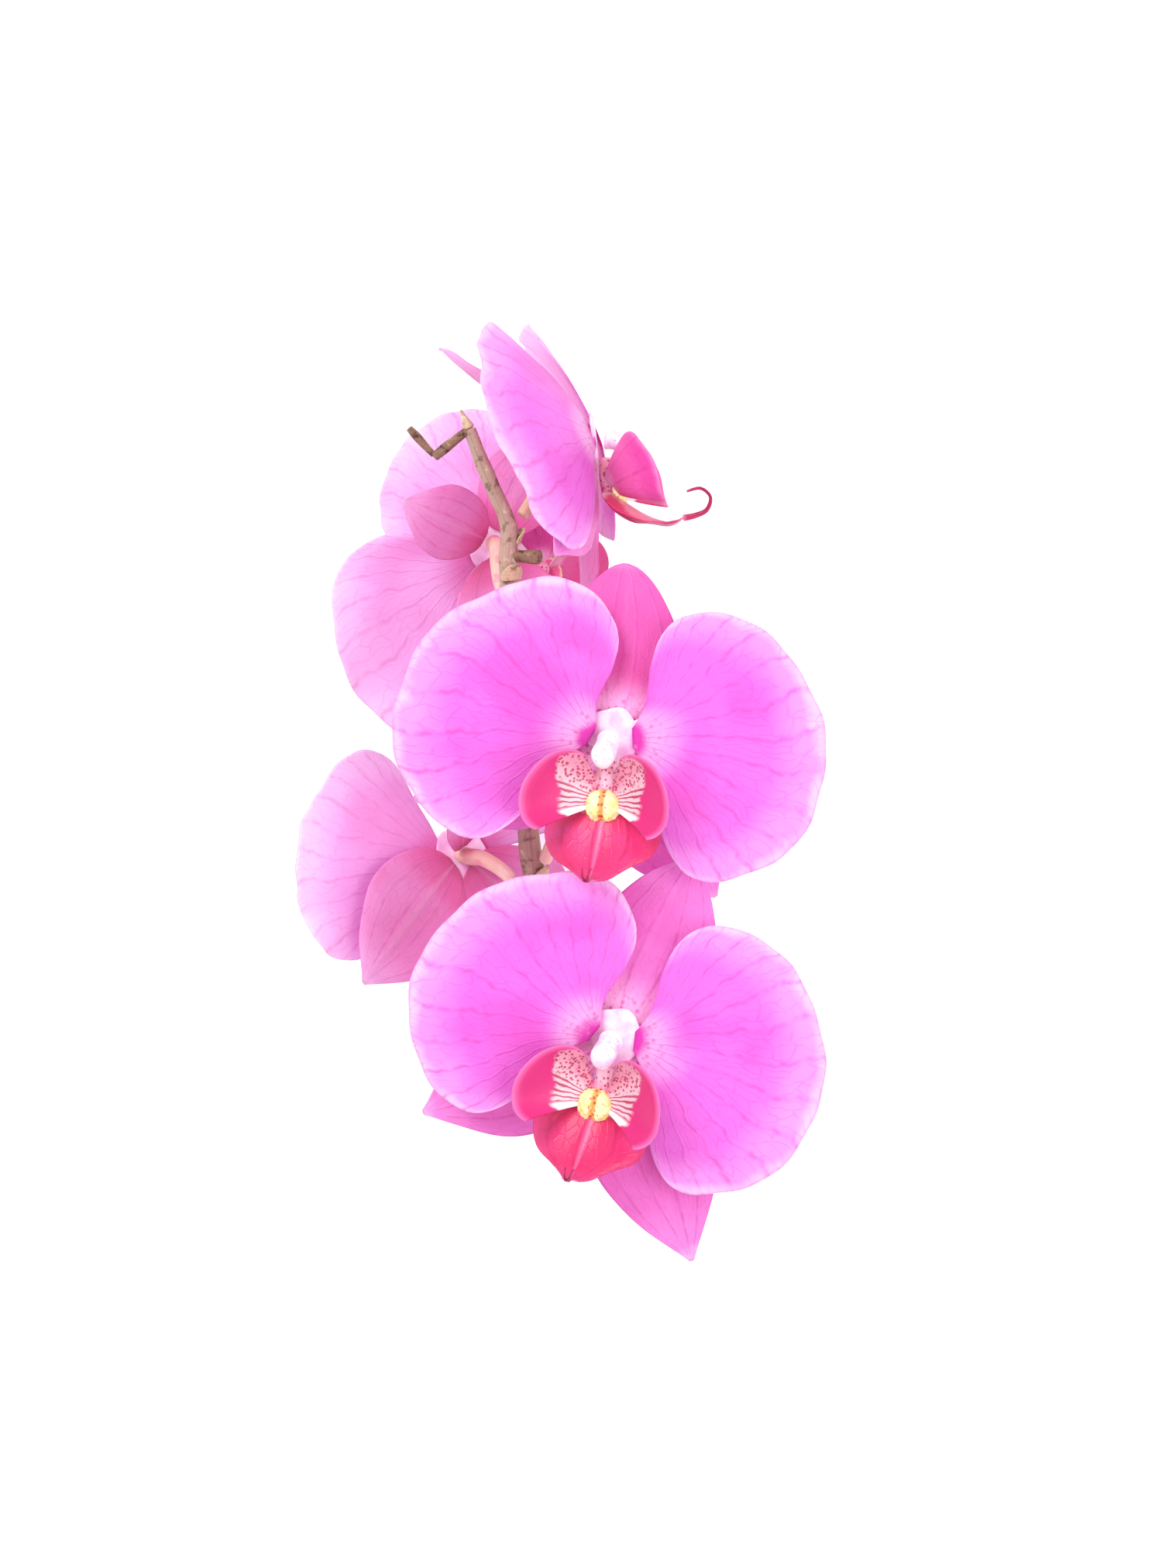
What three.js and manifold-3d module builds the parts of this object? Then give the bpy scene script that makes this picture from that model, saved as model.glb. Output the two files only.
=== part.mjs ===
// A cut spray of moth orchid: five open flowers on one short stem, laid down on a surface.
// Millimetres. X runs to the right, Y towards the top of the spray and Z up from the surface.
// Each flower is drawn in its own frame: x to its right, y towards its dorsal sepal, z out of its face.

import * as THREE from "three";
import { mergeVertices } from "three/addons/utils/BufferGeometryUtils.js";
import Module from "manifold-3d";

const wasm = await Module();
wasm.setup();

// ---------------------------------------------------------------- sizes

const GAP = 0.35; // left between pieces that touch on the real flower

// Petals: broad fans on a narrow claw. The radii run round the rim in equal steps from the
// lower edge (first) past the middle (fifth) to the upper edge (last).
const PETAL = {
  thickness: 0.9,
  clawWidth: 4.6,
  clawOffset: 4.8,
  clawSpan: 58,
  height: 0.9,
  lean: 0.12,
  curl: 0.0042,
  ruffle: 0.8,
  ruffleWaves: 4,
};
const LEFT_PETAL = {
  direction: 153,
  span: 77,
  radii: [26, 36.5, 43.5, 47.5, 46.5, 41.5, 37, 28, 21],
};
const RIGHT_PETAL = {
  direction: 4,
  span: 74,
  radii: [26, 36, 42.5, 47, 46, 42, 37, 29.5, 22],
};

// Sepals: ovate blades behind the petals, in the gaps between them.
const SEPAL = {
  thickness: 0.9,
  clawWidth: 4.5,
  clawOffset: 3.4,
  height: -1.1,
  lean: 0.0,
  curl: 0.0042,
  keel: 0.9,
  tipHalfWidth: 0.6,
};
const DORSAL_SEPAL = { length: 40, width: 27, direction: 88 };
const LEFT_SEPAL = { length: 48, width: 28 };
const RIGHT_SEPAL = { length: 47, width: 28 };

// Column: the short body at the centre of the flower, capped by the anther.
const COLUMN = { length: 10.5, baseRadius: 2.3, capRadius: 3.1, droop: 20, start: 2.3 };

// The lip and column look this far below the direction that the petals face.
const FACE_PITCH = 12;

// Lip: two upright side lobes, a callus between them and a pointed mid lobe.
const LIP = {
  thickness: 0.9,
  root: new THREE.Vector3(0, -5, 2.4),
  seat: new THREE.Vector3(0, -15.5, 6),
  tip: new THREE.Vector3(0, -32.5, 20.5),
  midWidth: 28,
  midArch: 4.5,
  midDroop: 2,
  midUpturn: 14,
  upturnFrom: 0.8,
  sideStart: 1.5,
  sideReach: 17,
  sideTrim: 0.12,
  sideNear: 12,
  sideFar: 110,
  sideForward: 13,
  sideNearShare: 0.3,
  callusRadius: 4.2,
  clawRadius: 2,
};

const PEDICEL = { flowerRadius: 2.1, stemRadius: 1.6, start: -2.4 };

const STEM = { baseRadius: 2.75, nodeRadius: 2.6, tipRadius: 1.6 };

// Bracts: small scales that clasp the stem below each stalk.
const BRACT = { thickness: 0.6, length: 4.2, wrap: 75, flare: 1.1 };

// The dry end of the stem: a papery tip, a side twig with a dead bud, and a cut stub.
const DRY_TIP = { length: 4.2, lean: [-0.45, 0.9, 0.1], endRadius: 0.3 };
const SIDE_TWIG = { radius: 1.15, place: 0.995, reach: [-6.4, -5.2, 0.5] };
const DEAD_BUD = { radius: 1.0, reach: [-5.2, 5.6, 0.6] };
const CUT_STUB = { radius: 1.7, place: 0.828, reach: [4.4, -0.4, 1.5] };

// Mesh fineness.
const PETAL_CELLS = [9, 6];
const SEPAL_CELLS = [4, 6];
const LOBE_CELLS = [4, 5];
const STEM_SIDES = 10;
const TWIG_SIDES = 8;

// ---------------------------------------------------------------- the spray's layout

const STEM_PATH = [
  [5, -90, 2.3],
  [-4, -58, 25],
  [-12.5, -17, 44],
  [-14.5, 21, 50],
  [-18, 55, 54],
  [-17.8, 64, 55],
  [-22.5, 74.5, 58],
  [-27.3, 87, 60],
];
const STEM_RADII = [
  STEM.baseRadius,
  STEM.baseRadius,
  STEM.baseRadius,
  STEM.baseRadius,
  STEM.nodeRadius,
  STEM.nodeRadius,
  (STEM.nodeRadius + STEM.tipRadius) / 2,
  STEM.tipRadius,
];

// Each flower: where its centre is, which way it faces, which way its dorsal sepal points,
// how far its petals and sepals are swept back, and the points that its pedicel passes
// on its way down to a place on the stem (0 at the cut end, 1 at the tip).
const FLOWERS = [
  {
    name: "upper",
    hub: [7.4, 11.2, 84],
    facing: [0, 0, 1],
    up: [0.05, 1, 0],
    faceYaw: -12,
    leftSepal: { direction: 200, sweep: 5 },
    rightSepal: { direction: 306, sweep: 14 },
    pedicel: [
      [6, 6, 70],
      [-3, -5, 57],
    ],
    joins: 0.44,
  },
  {
    name: "lower",
    hub: [7.9, -60.1, 84],
    facing: [0, 0, 1],
    up: [0.2, 1, 0],
    faceYaw: -12,
    leftPetal: { radii: [26, 35, 41, 45, 44.5, 40.5, 37, 29, 22] },
    dorsal: { direction: 77, length: 43 },
    leftSepal: { direction: 214, sweep: 5 },
    rightSepal: { direction: 300, length: 55 },
    pedicel: [
      [5, -65, 68],
      [0, -60, 48],
    ],
    joins: 0.27,
  },
  {
    name: "top",
    hub: [3.5, 85.4, 51.1],
    facing: [0.92, 0.38, 0.05],
    up: [-0.38, 0.92, 0],
    sweep: 18,
    facePitch: 16,
    lip: { seat: new THREE.Vector3(0, -14, 2.6), tip: new THREE.Vector3(0, -24, 19.5) },
    dorsal: { sweep: 26, keel: 4 },
    leftPetal: { direction: 156 },
    rightPetal: { direction: 29, sweep: 8, radii: [27, 37, 43.5, 48, 46.5, 40, 33.5, 27.5, 21.5] },
    leftSepal: { direction: 215, length: 42, sweep: 12 },
    rightSepal: { direction: 309, length: 42, sweep: 12 },
    pedicel: [
      [-5, 79, 49],
      [-11, 71.5, 53],
    ],
    joins: 0.875,
  },
  {
    name: "upper_back",
    hub: [-22.5, 61.6, 21.2],
    facing: [-0.15, 0.2, -0.97],
    up: [-0.87, 0.5, 0.2],
    sweep: 5,
    leftPetal: { direction: 113, sweep: -28, radii: [20, 24, 28, 32, 34, 34, 33, 28, 22] },
    rightPetal: { direction: 2, radii: [27, 38, 45, 50, 49, 44, 38, 29.5, 22] },
    dorsal: { sweep: 28, width: 21, length: 32, keel: 2.4 },
    leftSepal: { direction: 175, length: 30, width: 20, sweep: -4 },
    rightSepal: { direction: 316, length: 36, sweep: 8 },
    pedicel: [
      [-20, 50, 39],
      [-17, 42, 45],
    ],
    joins: 0.68,
  },
  {
    name: "lower_back",
    hub: [-30.7, -17.7, 26.4],
    facing: [-0.5, 0.1, -0.86],
    up: [-0.45, 0.9, 0.3],
    sweep: 5,
    leftPetal: { direction: 155, span: 47, radii: [22, 30, 37, 41, 42, 38, 33, 27, 20] },
    rightPetal: { direction: 36, span: 53, radii: [25, 34, 41, 45, 46.5, 45, 42, 34, 23] },
    rightSepal: { direction: 348, length: 42, width: 30 },
    leftSepal: { direction: 250, length: 38 },
    dorsal: { sweep: 40, width: 16 },
    pedicel: [
      [-25, -18.5, 38],
      [-18, -23, 43],
    ],
    joins: 0.37,
  },
];

// ---------------------------------------------------------------- materials

const finish = (color, roughness) =>
  new THREE.MeshStandardMaterial({ color, roughness, metalness: 0 });
const PETAL_PINK = finish("#f77bfb", 0.6);
const SEPAL_PINK = finish("#e94bc5", 0.6);
const LIP_CRIMSON = finish("#d93570", 0.5);
const COLUMN_WHITE = finish("#f7dcf5", 0.5);
const PEDICEL_CREAM = finish("#ecc9b4", 0.6);
const STEM_BROWN = finish("#a88f76", 0.8);
const BRACT_TAN = finish("#c9b091", 0.85);

// ---------------------------------------------------------------- geometry helpers

const vec = (point) => new THREE.Vector3(...point);
const radians = THREE.MathUtils.degToRad;

// A smooth value along a list, at a place from 0 to 1.
function along(list, place) {
  const at = THREE.MathUtils.clamp(place, 0, 1) * (list.length - 1);
  const low = Math.min(Math.floor(at), list.length - 2);
  const before = list[Math.max(low - 1, 0)];
  const after = list[Math.min(low + 2, list.length - 1)];
  const t = at - low;
  const slopeIn = (list[low + 1] - before) / 2;
  const slopeOut = (after - list[low]) / 2;
  const a = 2 * list[low] - 2 * list[low + 1] + slopeIn + slopeOut;
  const b = -3 * list[low] + 3 * list[low + 1] - 2 * slopeIn - slopeOut;
  return a * t ** 3 + b * t ** 2 + slopeIn * t + list[low];
}

// Moves every corner of a closed geometry and keeps only its positions.
function warp(geometry, place) {
  const position = geometry.getAttribute("position");
  const corner = new THREE.Vector3();
  for (let i = 0; i < position.count; i++) {
    const moved = place(corner.fromBufferAttribute(position, i));
    position.setXYZ(i, moved.x, moved.y, moved.z);
  }
  geometry.deleteAttribute("normal");
  geometry.deleteAttribute("uv");
  return mergeVertices(geometry, 1e-4);
}

// A closed blade about a surface given over s (-1 to 1, across) and v (0 to 1, root to rim).
function blade(surface, thickness, [across, rows]) {
  const step = 1e-3;
  return warp(new THREE.BoxGeometry(2, 1, 1, across, rows, 1), ({ x: s, y, z: side }) => {
    const v = y + 0.5;
    const point = surface(s, v);
    const alongS = surface(s + step, v).sub(surface(s - step, v));
    const alongV = surface(s, v + step).sub(surface(s, v - step));
    const normal = alongS.cross(alongV).normalize();
    return point.addScaledVector(normal, side * thickness);
  });
}

// A closed round twig along a smooth path, with its own radius at each place.
function twig(path, radii, sides, rows) {
  const curve = new THREE.CatmullRomCurve3(path, false, "centripetal");
  const { normals, binormals } = curve.computeFrenetFrames(rows);
  return warp(new THREE.CylinderGeometry(1, 1, 1, sides, rows), ({ x, y, z }) => {
    const t = y + 0.5;
    const row = Math.round(t * rows);
    const radius = along(radii, t);
    return curve
      .getPointAt(t)
      .addScaledVector(binormals[row], x * radius)
      .addScaledVector(normals[row], z * radius);
  });
}

function solid(geometry) {
  return new wasm.Manifold(
    new wasm.Mesh({
      numProp: 3,
      vertProperties: geometry.getAttribute("position").array,
      triVerts: new Uint32Array(geometry.index.array),
    }),
  );
}

function joined(geometries) {
  const whole = geometries.map(solid).reduce((all, next) => all.add(next));
  const { numProp, vertProperties, triVerts } = whole.getMesh();
  const position = new Float32Array((vertProperties.length / numProp) * 3);
  for (let i = 0; i < position.length / 3; i++) {
    position.set(vertProperties.subarray(i * numProp, i * numProp + 3), i * 3);
  }
  return new THREE.BufferGeometry()
    .setAttribute("position", new THREE.BufferAttribute(position, 3))
    .setIndex(new THREE.BufferAttribute(triVerts, 1));
}

function mesh(name, geometry, material) {
  const made = new THREE.Mesh(geometry, material);
  made.name = name;
  return made;
}

// ---------------------------------------------------------------- petals and sepals

// Bends a flat point of a blade into the flower's dome and sweeps it back by an angle.
function domed({ height, lean, curl }, sweep, x, y, raised) {
  const r = Math.hypot(x, y);
  const z = lean * r - curl * r * r + raised;
  const turn = radians(sweep);
  const share = r > 0 ? Math.cos(turn) + (z / r) * Math.sin(turn) : 1;
  return new THREE.Vector3(x * share, y * share, height + z * Math.cos(turn) - r * Math.sin(turn));
}

function petal({ direction, span, radii, sweep }, side) {
  const claw = new THREE.Vector2(side * PETAL.clawOffset, 0);
  const middle = radians(direction);
  const acrossClaw = new THREE.Vector2(-Math.sin(middle), Math.cos(middle));
  // The left fan runs the other way round, so that both start from the lower edge.
  return (s, v) => {
    const fan = Math.sin((Math.PI / 2) * THREE.MathUtils.clamp(s, -1, 1));
    const opening = radians(
      THREE.MathUtils.lerp(PETAL.clawSpan, span, THREE.MathUtils.smoothstep(v, 0, 0.8)),
    );
    const angle = middle + side * fan * opening;
    const radius = along(radii, (s + 1) / 2) * v;
    const clawShare = (PETAL.clawWidth / 2) * fan * side * (1 - v);
    const x = claw.x + radius * Math.cos(angle) + clawShare * acrossClaw.x;
    const y = claw.y + radius * Math.sin(angle) + clawShare * acrossClaw.y;
    const wave = Math.sin(fan * Math.PI * PETAL.ruffleWaves) * PETAL.ruffle * v ** 4;
    return domed(PETAL, sweep, x, y, wave);
  };
}

// Half the width of a sepal as a share of its greatest: full from the claw, then drawn to a point.
const sepalShare = (v) => Math.sin(Math.PI * v ** 0.88) ** (0.72 + 0.33 * v);

function sepal({ direction, length, width, sweep, keel = SEPAL.keel }) {
  const middle = radians(direction);
  const out = new THREE.Vector2(Math.cos(middle), Math.sin(middle));
  const aside = new THREE.Vector2(-out.y, out.x);
  return (s, v) => {
    const reach = SEPAL.clawOffset + length * v;
    const claw = (SEPAL.clawWidth / 2) * (1 - v) ** 2;
    const tip = SEPAL.tipHalfWidth * v;
    const inside = THREE.MathUtils.clamp(v, 0, 1);
    const half = (width / 2) * sepalShare(inside) + claw + tip;
    const x = out.x * reach + aside.x * half * s;
    const y = out.y * reach + aside.y * half * s;
    const raised = keel * (s * s - 1) * Math.sin(Math.PI * inside);
    return domed(SEPAL, sweep, x, y, raised);
  };
}

// ---------------------------------------------------------------- column and lip

function columnGeometry() {
  const { length, baseRadius, capRadius } = COLUMN;
  const profile = [
    [0, 0],
    [baseRadius, 0],
    [baseRadius, length * 0.45],
    [capRadius, length * 0.7],
    [capRadius * 0.8, length * 0.92],
    [0, length],
  ].map(([r, h]) => new THREE.Vector2(r, h));
  const made = new THREE.LatheGeometry(profile, TWIG_SIDES);
  made.rotateX(Math.PI / 2);
  return warp(made, (corner) => corner);
}

// The mid lobe: from its seat under the callus it widens, then narrows to a point that turns up.
const midLobe = (lip) => (s, v) => {
  const { seat, tip, midWidth, midArch, midDroop, midUpturn, upturnFrom } = lip;
  const inside = THREE.MathUtils.clamp(v, 0, 1);
  const spread = Math.sin(Math.PI * inside ** 0.62) ** (0.6 + inside);
  const half = (midWidth / 2) * (0.12 + 0.88 * spread);
  const centre = seat.clone().lerp(tip, v);
  const droop = midDroop * Math.sin(Math.PI * v);
  const upturn = midUpturn * Math.max(0, v - upturnFrom) ** 1.2;
  const sides = (-midArch * s * s * half) / (midWidth / 2);
  return new THREE.Vector3(half * s, centre.y - droop + upturn, centre.z + sides);
};

// A side lobe: a wing that fans out from the seat, from beside the column to the side, and
// curves forward towards its edge.
const sideLobe = (lip, side) => (s, v) => {
  const { seat, sideStart, sideReach, sideTrim, sideNear, sideFar } = lip;
  const outward = (s + 1) / 2;
  const turn = radians(THREE.MathUtils.lerp(sideNear, sideFar, outward));
  const cupped = Math.sin((Math.PI / 2) * THREE.MathUtils.clamp(outward, 0, 1));
  const forward = lip.sideForward * THREE.MathUtils.lerp(lip.sideNearShare, 1, cupped);
  const reach = sideReach * v * (1 - sideTrim * s * s);
  const x = side * (sideStart + reach * Math.sin(turn));
  const y = seat.y + reach * Math.cos(turn) + sideStart * (1 - s) * (1 - v);
  const z = seat.z + forward * Math.max(0, v) ** 1.6 + sideStart * s * (1 - v);
  return new THREE.Vector3(x, y, z);
};

function lipGeometry(lip) {
  const { root, seat, clawRadius, callusRadius, thickness } = lip;
  const middle = root.clone().lerp(seat, 0.5).add(new THREE.Vector3(0, 0, -0.6));
  const claw = twig(
    [root, middle, seat],
    [clawRadius, clawRadius, clawRadius * 1.3],
    TWIG_SIDES,
    3,
  );
  const callus = warp(
    new THREE.SphereGeometry(callusRadius, TWIG_SIDES, 6),
    ({ x, y, z }) => new THREE.Vector3(x + seat.x, y + seat.y, z * 0.8 + seat.z + 1),
  );
  return joined([
    claw,
    callus,
    blade(midLobe(lip), thickness, LOBE_CELLS),
    blade(sideLobe(lip, 1), thickness, LOBE_CELLS),
    blade(sideLobe(lip, -1), thickness, LOBE_CELLS),
  ]);
}

// ---------------------------------------------------------------- flowers

const stemCurve = new THREE.CatmullRomCurve3(STEM_PATH.map(vec), false, "centripetal");

function flowerFrame({ hub, facing, up }) {
  const out = vec(facing).normalize();
  const right = vec(up).cross(out).normalize();
  const top = out.clone().cross(right);
  return new THREE.Matrix4().makeBasis(right, top, out).setPosition(vec(hub));
}

function flower(plan) {
  const frame = flowerFrame(plan);
  const sweep = plan.sweep ?? 0;
  const group = new THREE.Group();
  group.applyMatrix4(frame);

  for (const [side, label, shape] of [
    [-1, "left", LEFT_PETAL],
    [1, "right", RIGHT_PETAL],
  ]) {
    const surface = petal({ sweep, ...shape, ...plan[label + "Petal"] }, side);
    const fan = blade(surface, PETAL.thickness, PETAL_CELLS);
    group.add(mesh(`${plan.name}_flower_${label}_petal`, fan, PETAL_PINK));
  }
  for (const [label, shape, own] of [
    ["dorsal", DORSAL_SEPAL, plan.dorsal],
    ["left_lateral", LEFT_SEPAL, plan.leftSepal],
    ["right_lateral", RIGHT_SEPAL, plan.rightSepal],
  ]) {
    const leaf = blade(sepal({ sweep, ...shape, ...own }), SEPAL.thickness, SEPAL_CELLS);
    group.add(mesh(`${plan.name}_flower_${label}_sepal`, leaf, SEPAL_PINK));
  }

  const face = new THREE.Group();
  face.rotation.set(radians(plan.facePitch ?? FACE_PITCH), radians(plan.faceYaw ?? 0), 0);
  face.add(mesh(`${plan.name}_flower_lip`, lipGeometry({ ...LIP, ...plan.lip }), LIP_CRIMSON));
  const column = mesh(`${plan.name}_flower_column`, columnGeometry(), COLUMN_WHITE);
  column.rotation.x = radians(COLUMN.droop);
  column.position.z = COLUMN.start;
  face.add(column);
  group.add(face);
  return group;
}

// A flower's stalk, from behind its centre to the side of the stem.
function pedicel(plan) {
  const frame = flowerFrame(plan);
  const start = new THREE.Vector3(0, 0, PEDICEL.start).applyMatrix4(frame);
  const behind = new THREE.Vector3(0, 0, PEDICEL.start - 5).applyMatrix4(frame);
  const route = plan.pedicel.map(vec);
  const axis = stemCurve.getPointAt(plan.joins);
  const tangent = stemCurve.getTangentAt(plan.joins);
  const away = route.at(-1).clone().sub(axis).projectOnPlane(tangent).normalize();
  const end = axis.addScaledVector(away, STEM.baseRadius + PEDICEL.stemRadius + GAP);
  const { flowerRadius, stemRadius } = PEDICEL;
  const stalk = twig(
    [start, behind, ...route, end],
    [flowerRadius, flowerRadius, (flowerRadius + stemRadius) / 2, stemRadius, stemRadius],
    TWIG_SIDES,
    9,
  );
  return mesh(`${plan.name}_flower_pedicel`, stalk, PEDICEL_CREAM);
}

// A scale that clasps the stem just below a place on it, on the side given.
function bract(name, place, toward) {
  const { thickness, length, wrap, flare } = BRACT;
  const below = PEDICEL.stemRadius + GAP + length;
  const foot = place - below / stemCurve.getLength();
  const base = stemCurve.getPointAt(foot);
  const tangent = stemCurve.getTangentAt(foot);
  const outward = toward.clone().projectOnPlane(tangent).normalize();
  const aside = tangent.clone().cross(outward);
  const surface = (s, v) => {
    const turn = radians(wrap * s * (1 - 0.8 * v ** 2));
    const radius = along(STEM_RADII, foot) + GAP + thickness / 2 + flare * v ** 2;
    return base
      .clone()
      .addScaledVector(tangent, length * v)
      .addScaledVector(outward, radius * Math.cos(turn))
      .addScaledVector(aside, radius * Math.sin(turn));
  };
  return mesh(name, blade(surface, thickness, [6, 3]), BRACT_TAN);
}

// A short twig that leaves the side of the stem at a place and runs to a point away from it.
function offshoot(name, start, reach, radii, material) {
  const end = start.clone().add(vec(reach));
  const middle = start.clone().lerp(end, 0.5);
  return mesh(name, twig([start, middle, end], radii, TWIG_SIDES, 3), material);
}

function besideStem(place, reach, radius, stemRadius) {
  const tangent = stemCurve.getTangentAt(place);
  const outward = vec(reach).projectOnPlane(tangent).normalize();
  const clear = stemRadius + radius / 2 + GAP;
  return stemCurve.getPointAt(place).addScaledVector(outward, clear);
}

function dryEnd() {
  const group = new THREE.Group();
  const top = stemCurve.getPointAt(1).addScaledVector(stemCurve.getTangentAt(1), GAP);
  const lean = vec(DRY_TIP.lean).setLength(DRY_TIP.length).toArray();
  const tipRadii = [STEM.tipRadius, STEM.tipRadius / 2, DRY_TIP.endRadius];
  group.add(offshoot("stem_dry_tip", top, lean, tipRadii, BRACT_TAN));

  const { radius, place, reach } = SIDE_TWIG;
  const twigStart = besideStem(place, reach, radius, STEM.tipRadius);
  const twigRadii = [radius, radius, radius];
  group.add(offshoot("side_twig", twigStart, reach, twigRadii, STEM_BROWN));

  const budStart = twigStart
    .clone()
    .add(vec(reach))
    .add(vec(DEAD_BUD.reach).setLength(radius + GAP));
  const budRadii = [DEAD_BUD.radius * 0.8, DEAD_BUD.radius, DEAD_BUD.radius * 0.7];
  group.add(offshoot("dead_bud", budStart, DEAD_BUD.reach, budRadii, STEM_BROWN));

  const stubStart = besideStem(CUT_STUB.place, CUT_STUB.reach, CUT_STUB.radius, STEM.nodeRadius);
  const stubRadii = [CUT_STUB.radius * 0.8, CUT_STUB.radius, CUT_STUB.radius];
  group.add(offshoot("cut_stub", stubStart, CUT_STUB.reach, stubRadii, STEM_BROWN));
  group.add(bract("node_scale", CUT_STUB.place, new THREE.Vector3(0.5, 0, 1)));
  return group;
}

// ---------------------------------------------------------------- the whole spray

const spray = new THREE.Group();
for (const plan of FLOWERS) {
  const stalkSide = vec(plan.pedicel.at(-1)).sub(stemCurve.getPointAt(plan.joins));
  spray.add(flower(plan), pedicel(plan));
  spray.add(bract(`${plan.name}_flower_bract`, plan.joins, stalkSide));
}
spray.add(mesh("stem", twig(STEM_PATH.map(vec), STEM_RADII, STEM_SIDES, 22), STEM_BROWN));
spray.add(dryEnd());

// The origin is under the middle of the whole spray, on the surface that it lies on.
const bounds = new THREE.Box3().setFromObject(spray, true);
const centre = bounds.getCenter(new THREE.Vector3());
spray.position.set(-centre.x, -centre.y, -bounds.min.z);

export default spray;
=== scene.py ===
"""A cut spray of moth orchid with five open flowers, laid down on a pale surface.

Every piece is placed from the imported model: each flower's own axes are measured from its column
and lip, and each stalk's centre line from the rings of its solid.
"""

import logging
import math
from collections.abc import Callable, Iterable
from dataclasses import KW_ONLY, dataclass, replace
from enum import Enum

import bpy
import numpy as np
from mathutils import Matrix, Vector


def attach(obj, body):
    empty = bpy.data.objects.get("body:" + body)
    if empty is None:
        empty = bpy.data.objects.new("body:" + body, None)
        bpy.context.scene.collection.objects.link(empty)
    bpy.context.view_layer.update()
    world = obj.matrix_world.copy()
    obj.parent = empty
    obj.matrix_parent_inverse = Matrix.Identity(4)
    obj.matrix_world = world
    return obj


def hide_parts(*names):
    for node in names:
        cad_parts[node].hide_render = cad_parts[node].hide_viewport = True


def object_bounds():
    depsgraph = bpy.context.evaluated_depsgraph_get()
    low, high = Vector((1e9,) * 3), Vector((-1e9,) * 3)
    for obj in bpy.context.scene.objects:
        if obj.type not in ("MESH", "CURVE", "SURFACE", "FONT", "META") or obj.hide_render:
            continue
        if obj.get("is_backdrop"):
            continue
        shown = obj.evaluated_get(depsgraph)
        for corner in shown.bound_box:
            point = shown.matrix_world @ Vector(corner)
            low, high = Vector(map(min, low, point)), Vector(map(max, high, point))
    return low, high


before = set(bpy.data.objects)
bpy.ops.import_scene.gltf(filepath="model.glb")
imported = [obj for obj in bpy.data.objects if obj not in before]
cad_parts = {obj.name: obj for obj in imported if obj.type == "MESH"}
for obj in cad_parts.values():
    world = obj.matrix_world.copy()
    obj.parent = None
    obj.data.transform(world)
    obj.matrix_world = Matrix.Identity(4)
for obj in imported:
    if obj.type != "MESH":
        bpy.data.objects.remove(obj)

log = logging.getLogger("orchid")

MM = 0.001
MERGE = 0.002  # corners closer than this, in millimetres, become one
RIM_SHARE = 8  # a wall thins over the outer eighth of its blade
Array = np.ndarray
Surface = Callable[[Array, Array], Array]
Stops = tuple[tuple[float, str], ...]
Tree = bpy.types.NodeTree
Node = bpy.types.Node
Socket = bpy.types.NodeSocket
Piece = bpy.types.Object


# ---------------------------------------------------------------- colours and nodes

SMOOTH = {"interpolation_type": "SMOOTHSTEP"}
COLOURS = {"data_type": "RGBA"}  # A Mix of colours takes its two by index, 6 and 7, and gives output 2.
PETAL_IOR = 1.42
BARK_IOR = 1.45


def linear(hex_colour: str) -> tuple[float, float, float, float]:
    """Turns an sRGB hex colour to linear.

    Args:
        hex_colour: a colour such as "#f77bfb".

    Returns:
        Linear red, green, blue and an alpha of 1.
    """
    parts = [int(hex_colour[i : i + 2], 16) / 255 for i in (1, 3, 5)]
    red, green, blue = (c / 12.92 if c <= 0.04045 else ((c + 0.055) / 1.055) ** 2.4 for c in parts)
    return (red, green, blue, 1.0)


def turned(degrees: float) -> tuple[float, float]:
    """Gives the sine and cosine of an angle."""
    return math.sin(math.radians(degrees)), math.cos(math.radians(degrees))


def every(size: float) -> float:
    """Gives the scale of a texture whose pattern repeats about every so many millimetres."""
    return 1 / (size * MM)


def add(tree: Tree, kind: str, sockets: dict | None = None, stops: Stops = (), **settings) -> Node:
    """Adds one shader node with its settings, socket values and links.

    Args:
        tree: the material's node tree.
        kind: the node's type without "ShaderNode".
        sockets: input name or index to a value, to the output socket that feeds it, or to the
            node whose first output does.
        stops: on a node with a colour ramp, its places from 0 to 1, each with its sRGB hex colour.
        settings: attributes of the node.

    Returns:
        The new node.
    """
    node = tree.nodes.new("ShaderNode" + kind)
    for name, value in settings.items():
        setattr(node, name, value)
    for name, value in (sockets or {}).items():
        if isinstance(value, Node):
            value = value.outputs[0]
        if isinstance(value, Socket):
            tree.links.new(value, node.inputs[name])
        else:
            node.inputs[name].default_value = value
    if stops:
        node.color_ramp.interpolation = "EASE"
        for _ in stops[2:]:
            node.color_ramp.elements.new(1.0)
        for element, (place, colour) in zip(node.color_ramp.elements, stops):
            element.position = place
            element.color = linear(colour)
    return node


def places(tree: Tree) -> tuple[Node, Socket, Socket, Socket]:
    """Gives the UV map, the places across and along that it holds, and the place in the model."""
    uv = add(tree, "UVMap")
    parts = add(tree, "SeparateXYZ", {0: uv}).outputs
    return uv, parts["X"], parts["Y"], add(tree, "TexCoord").outputs["Object"]


@dataclass(frozen=True)
class Finish:
    """A finish that makes its Blender material once and gives it to every piece that wears it."""

    name: str

    def material(self) -> bpy.types.Material:
        """Returns the material, made the first time it is asked for."""
        if self.name not in bpy.data.materials:
            made = bpy.data.materials.new(self.name)
            made.use_nodes = True
            made.node_tree.nodes.clear()
            add(made.node_tree, "OutputMaterial", {"Surface": self.shader(made.node_tree)})
        return bpy.data.materials[self.name]

    def shader(self, tree: Tree) -> Node:
        """Builds the finish's nodes and returns the shader node."""
        raise NotImplementedError


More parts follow.
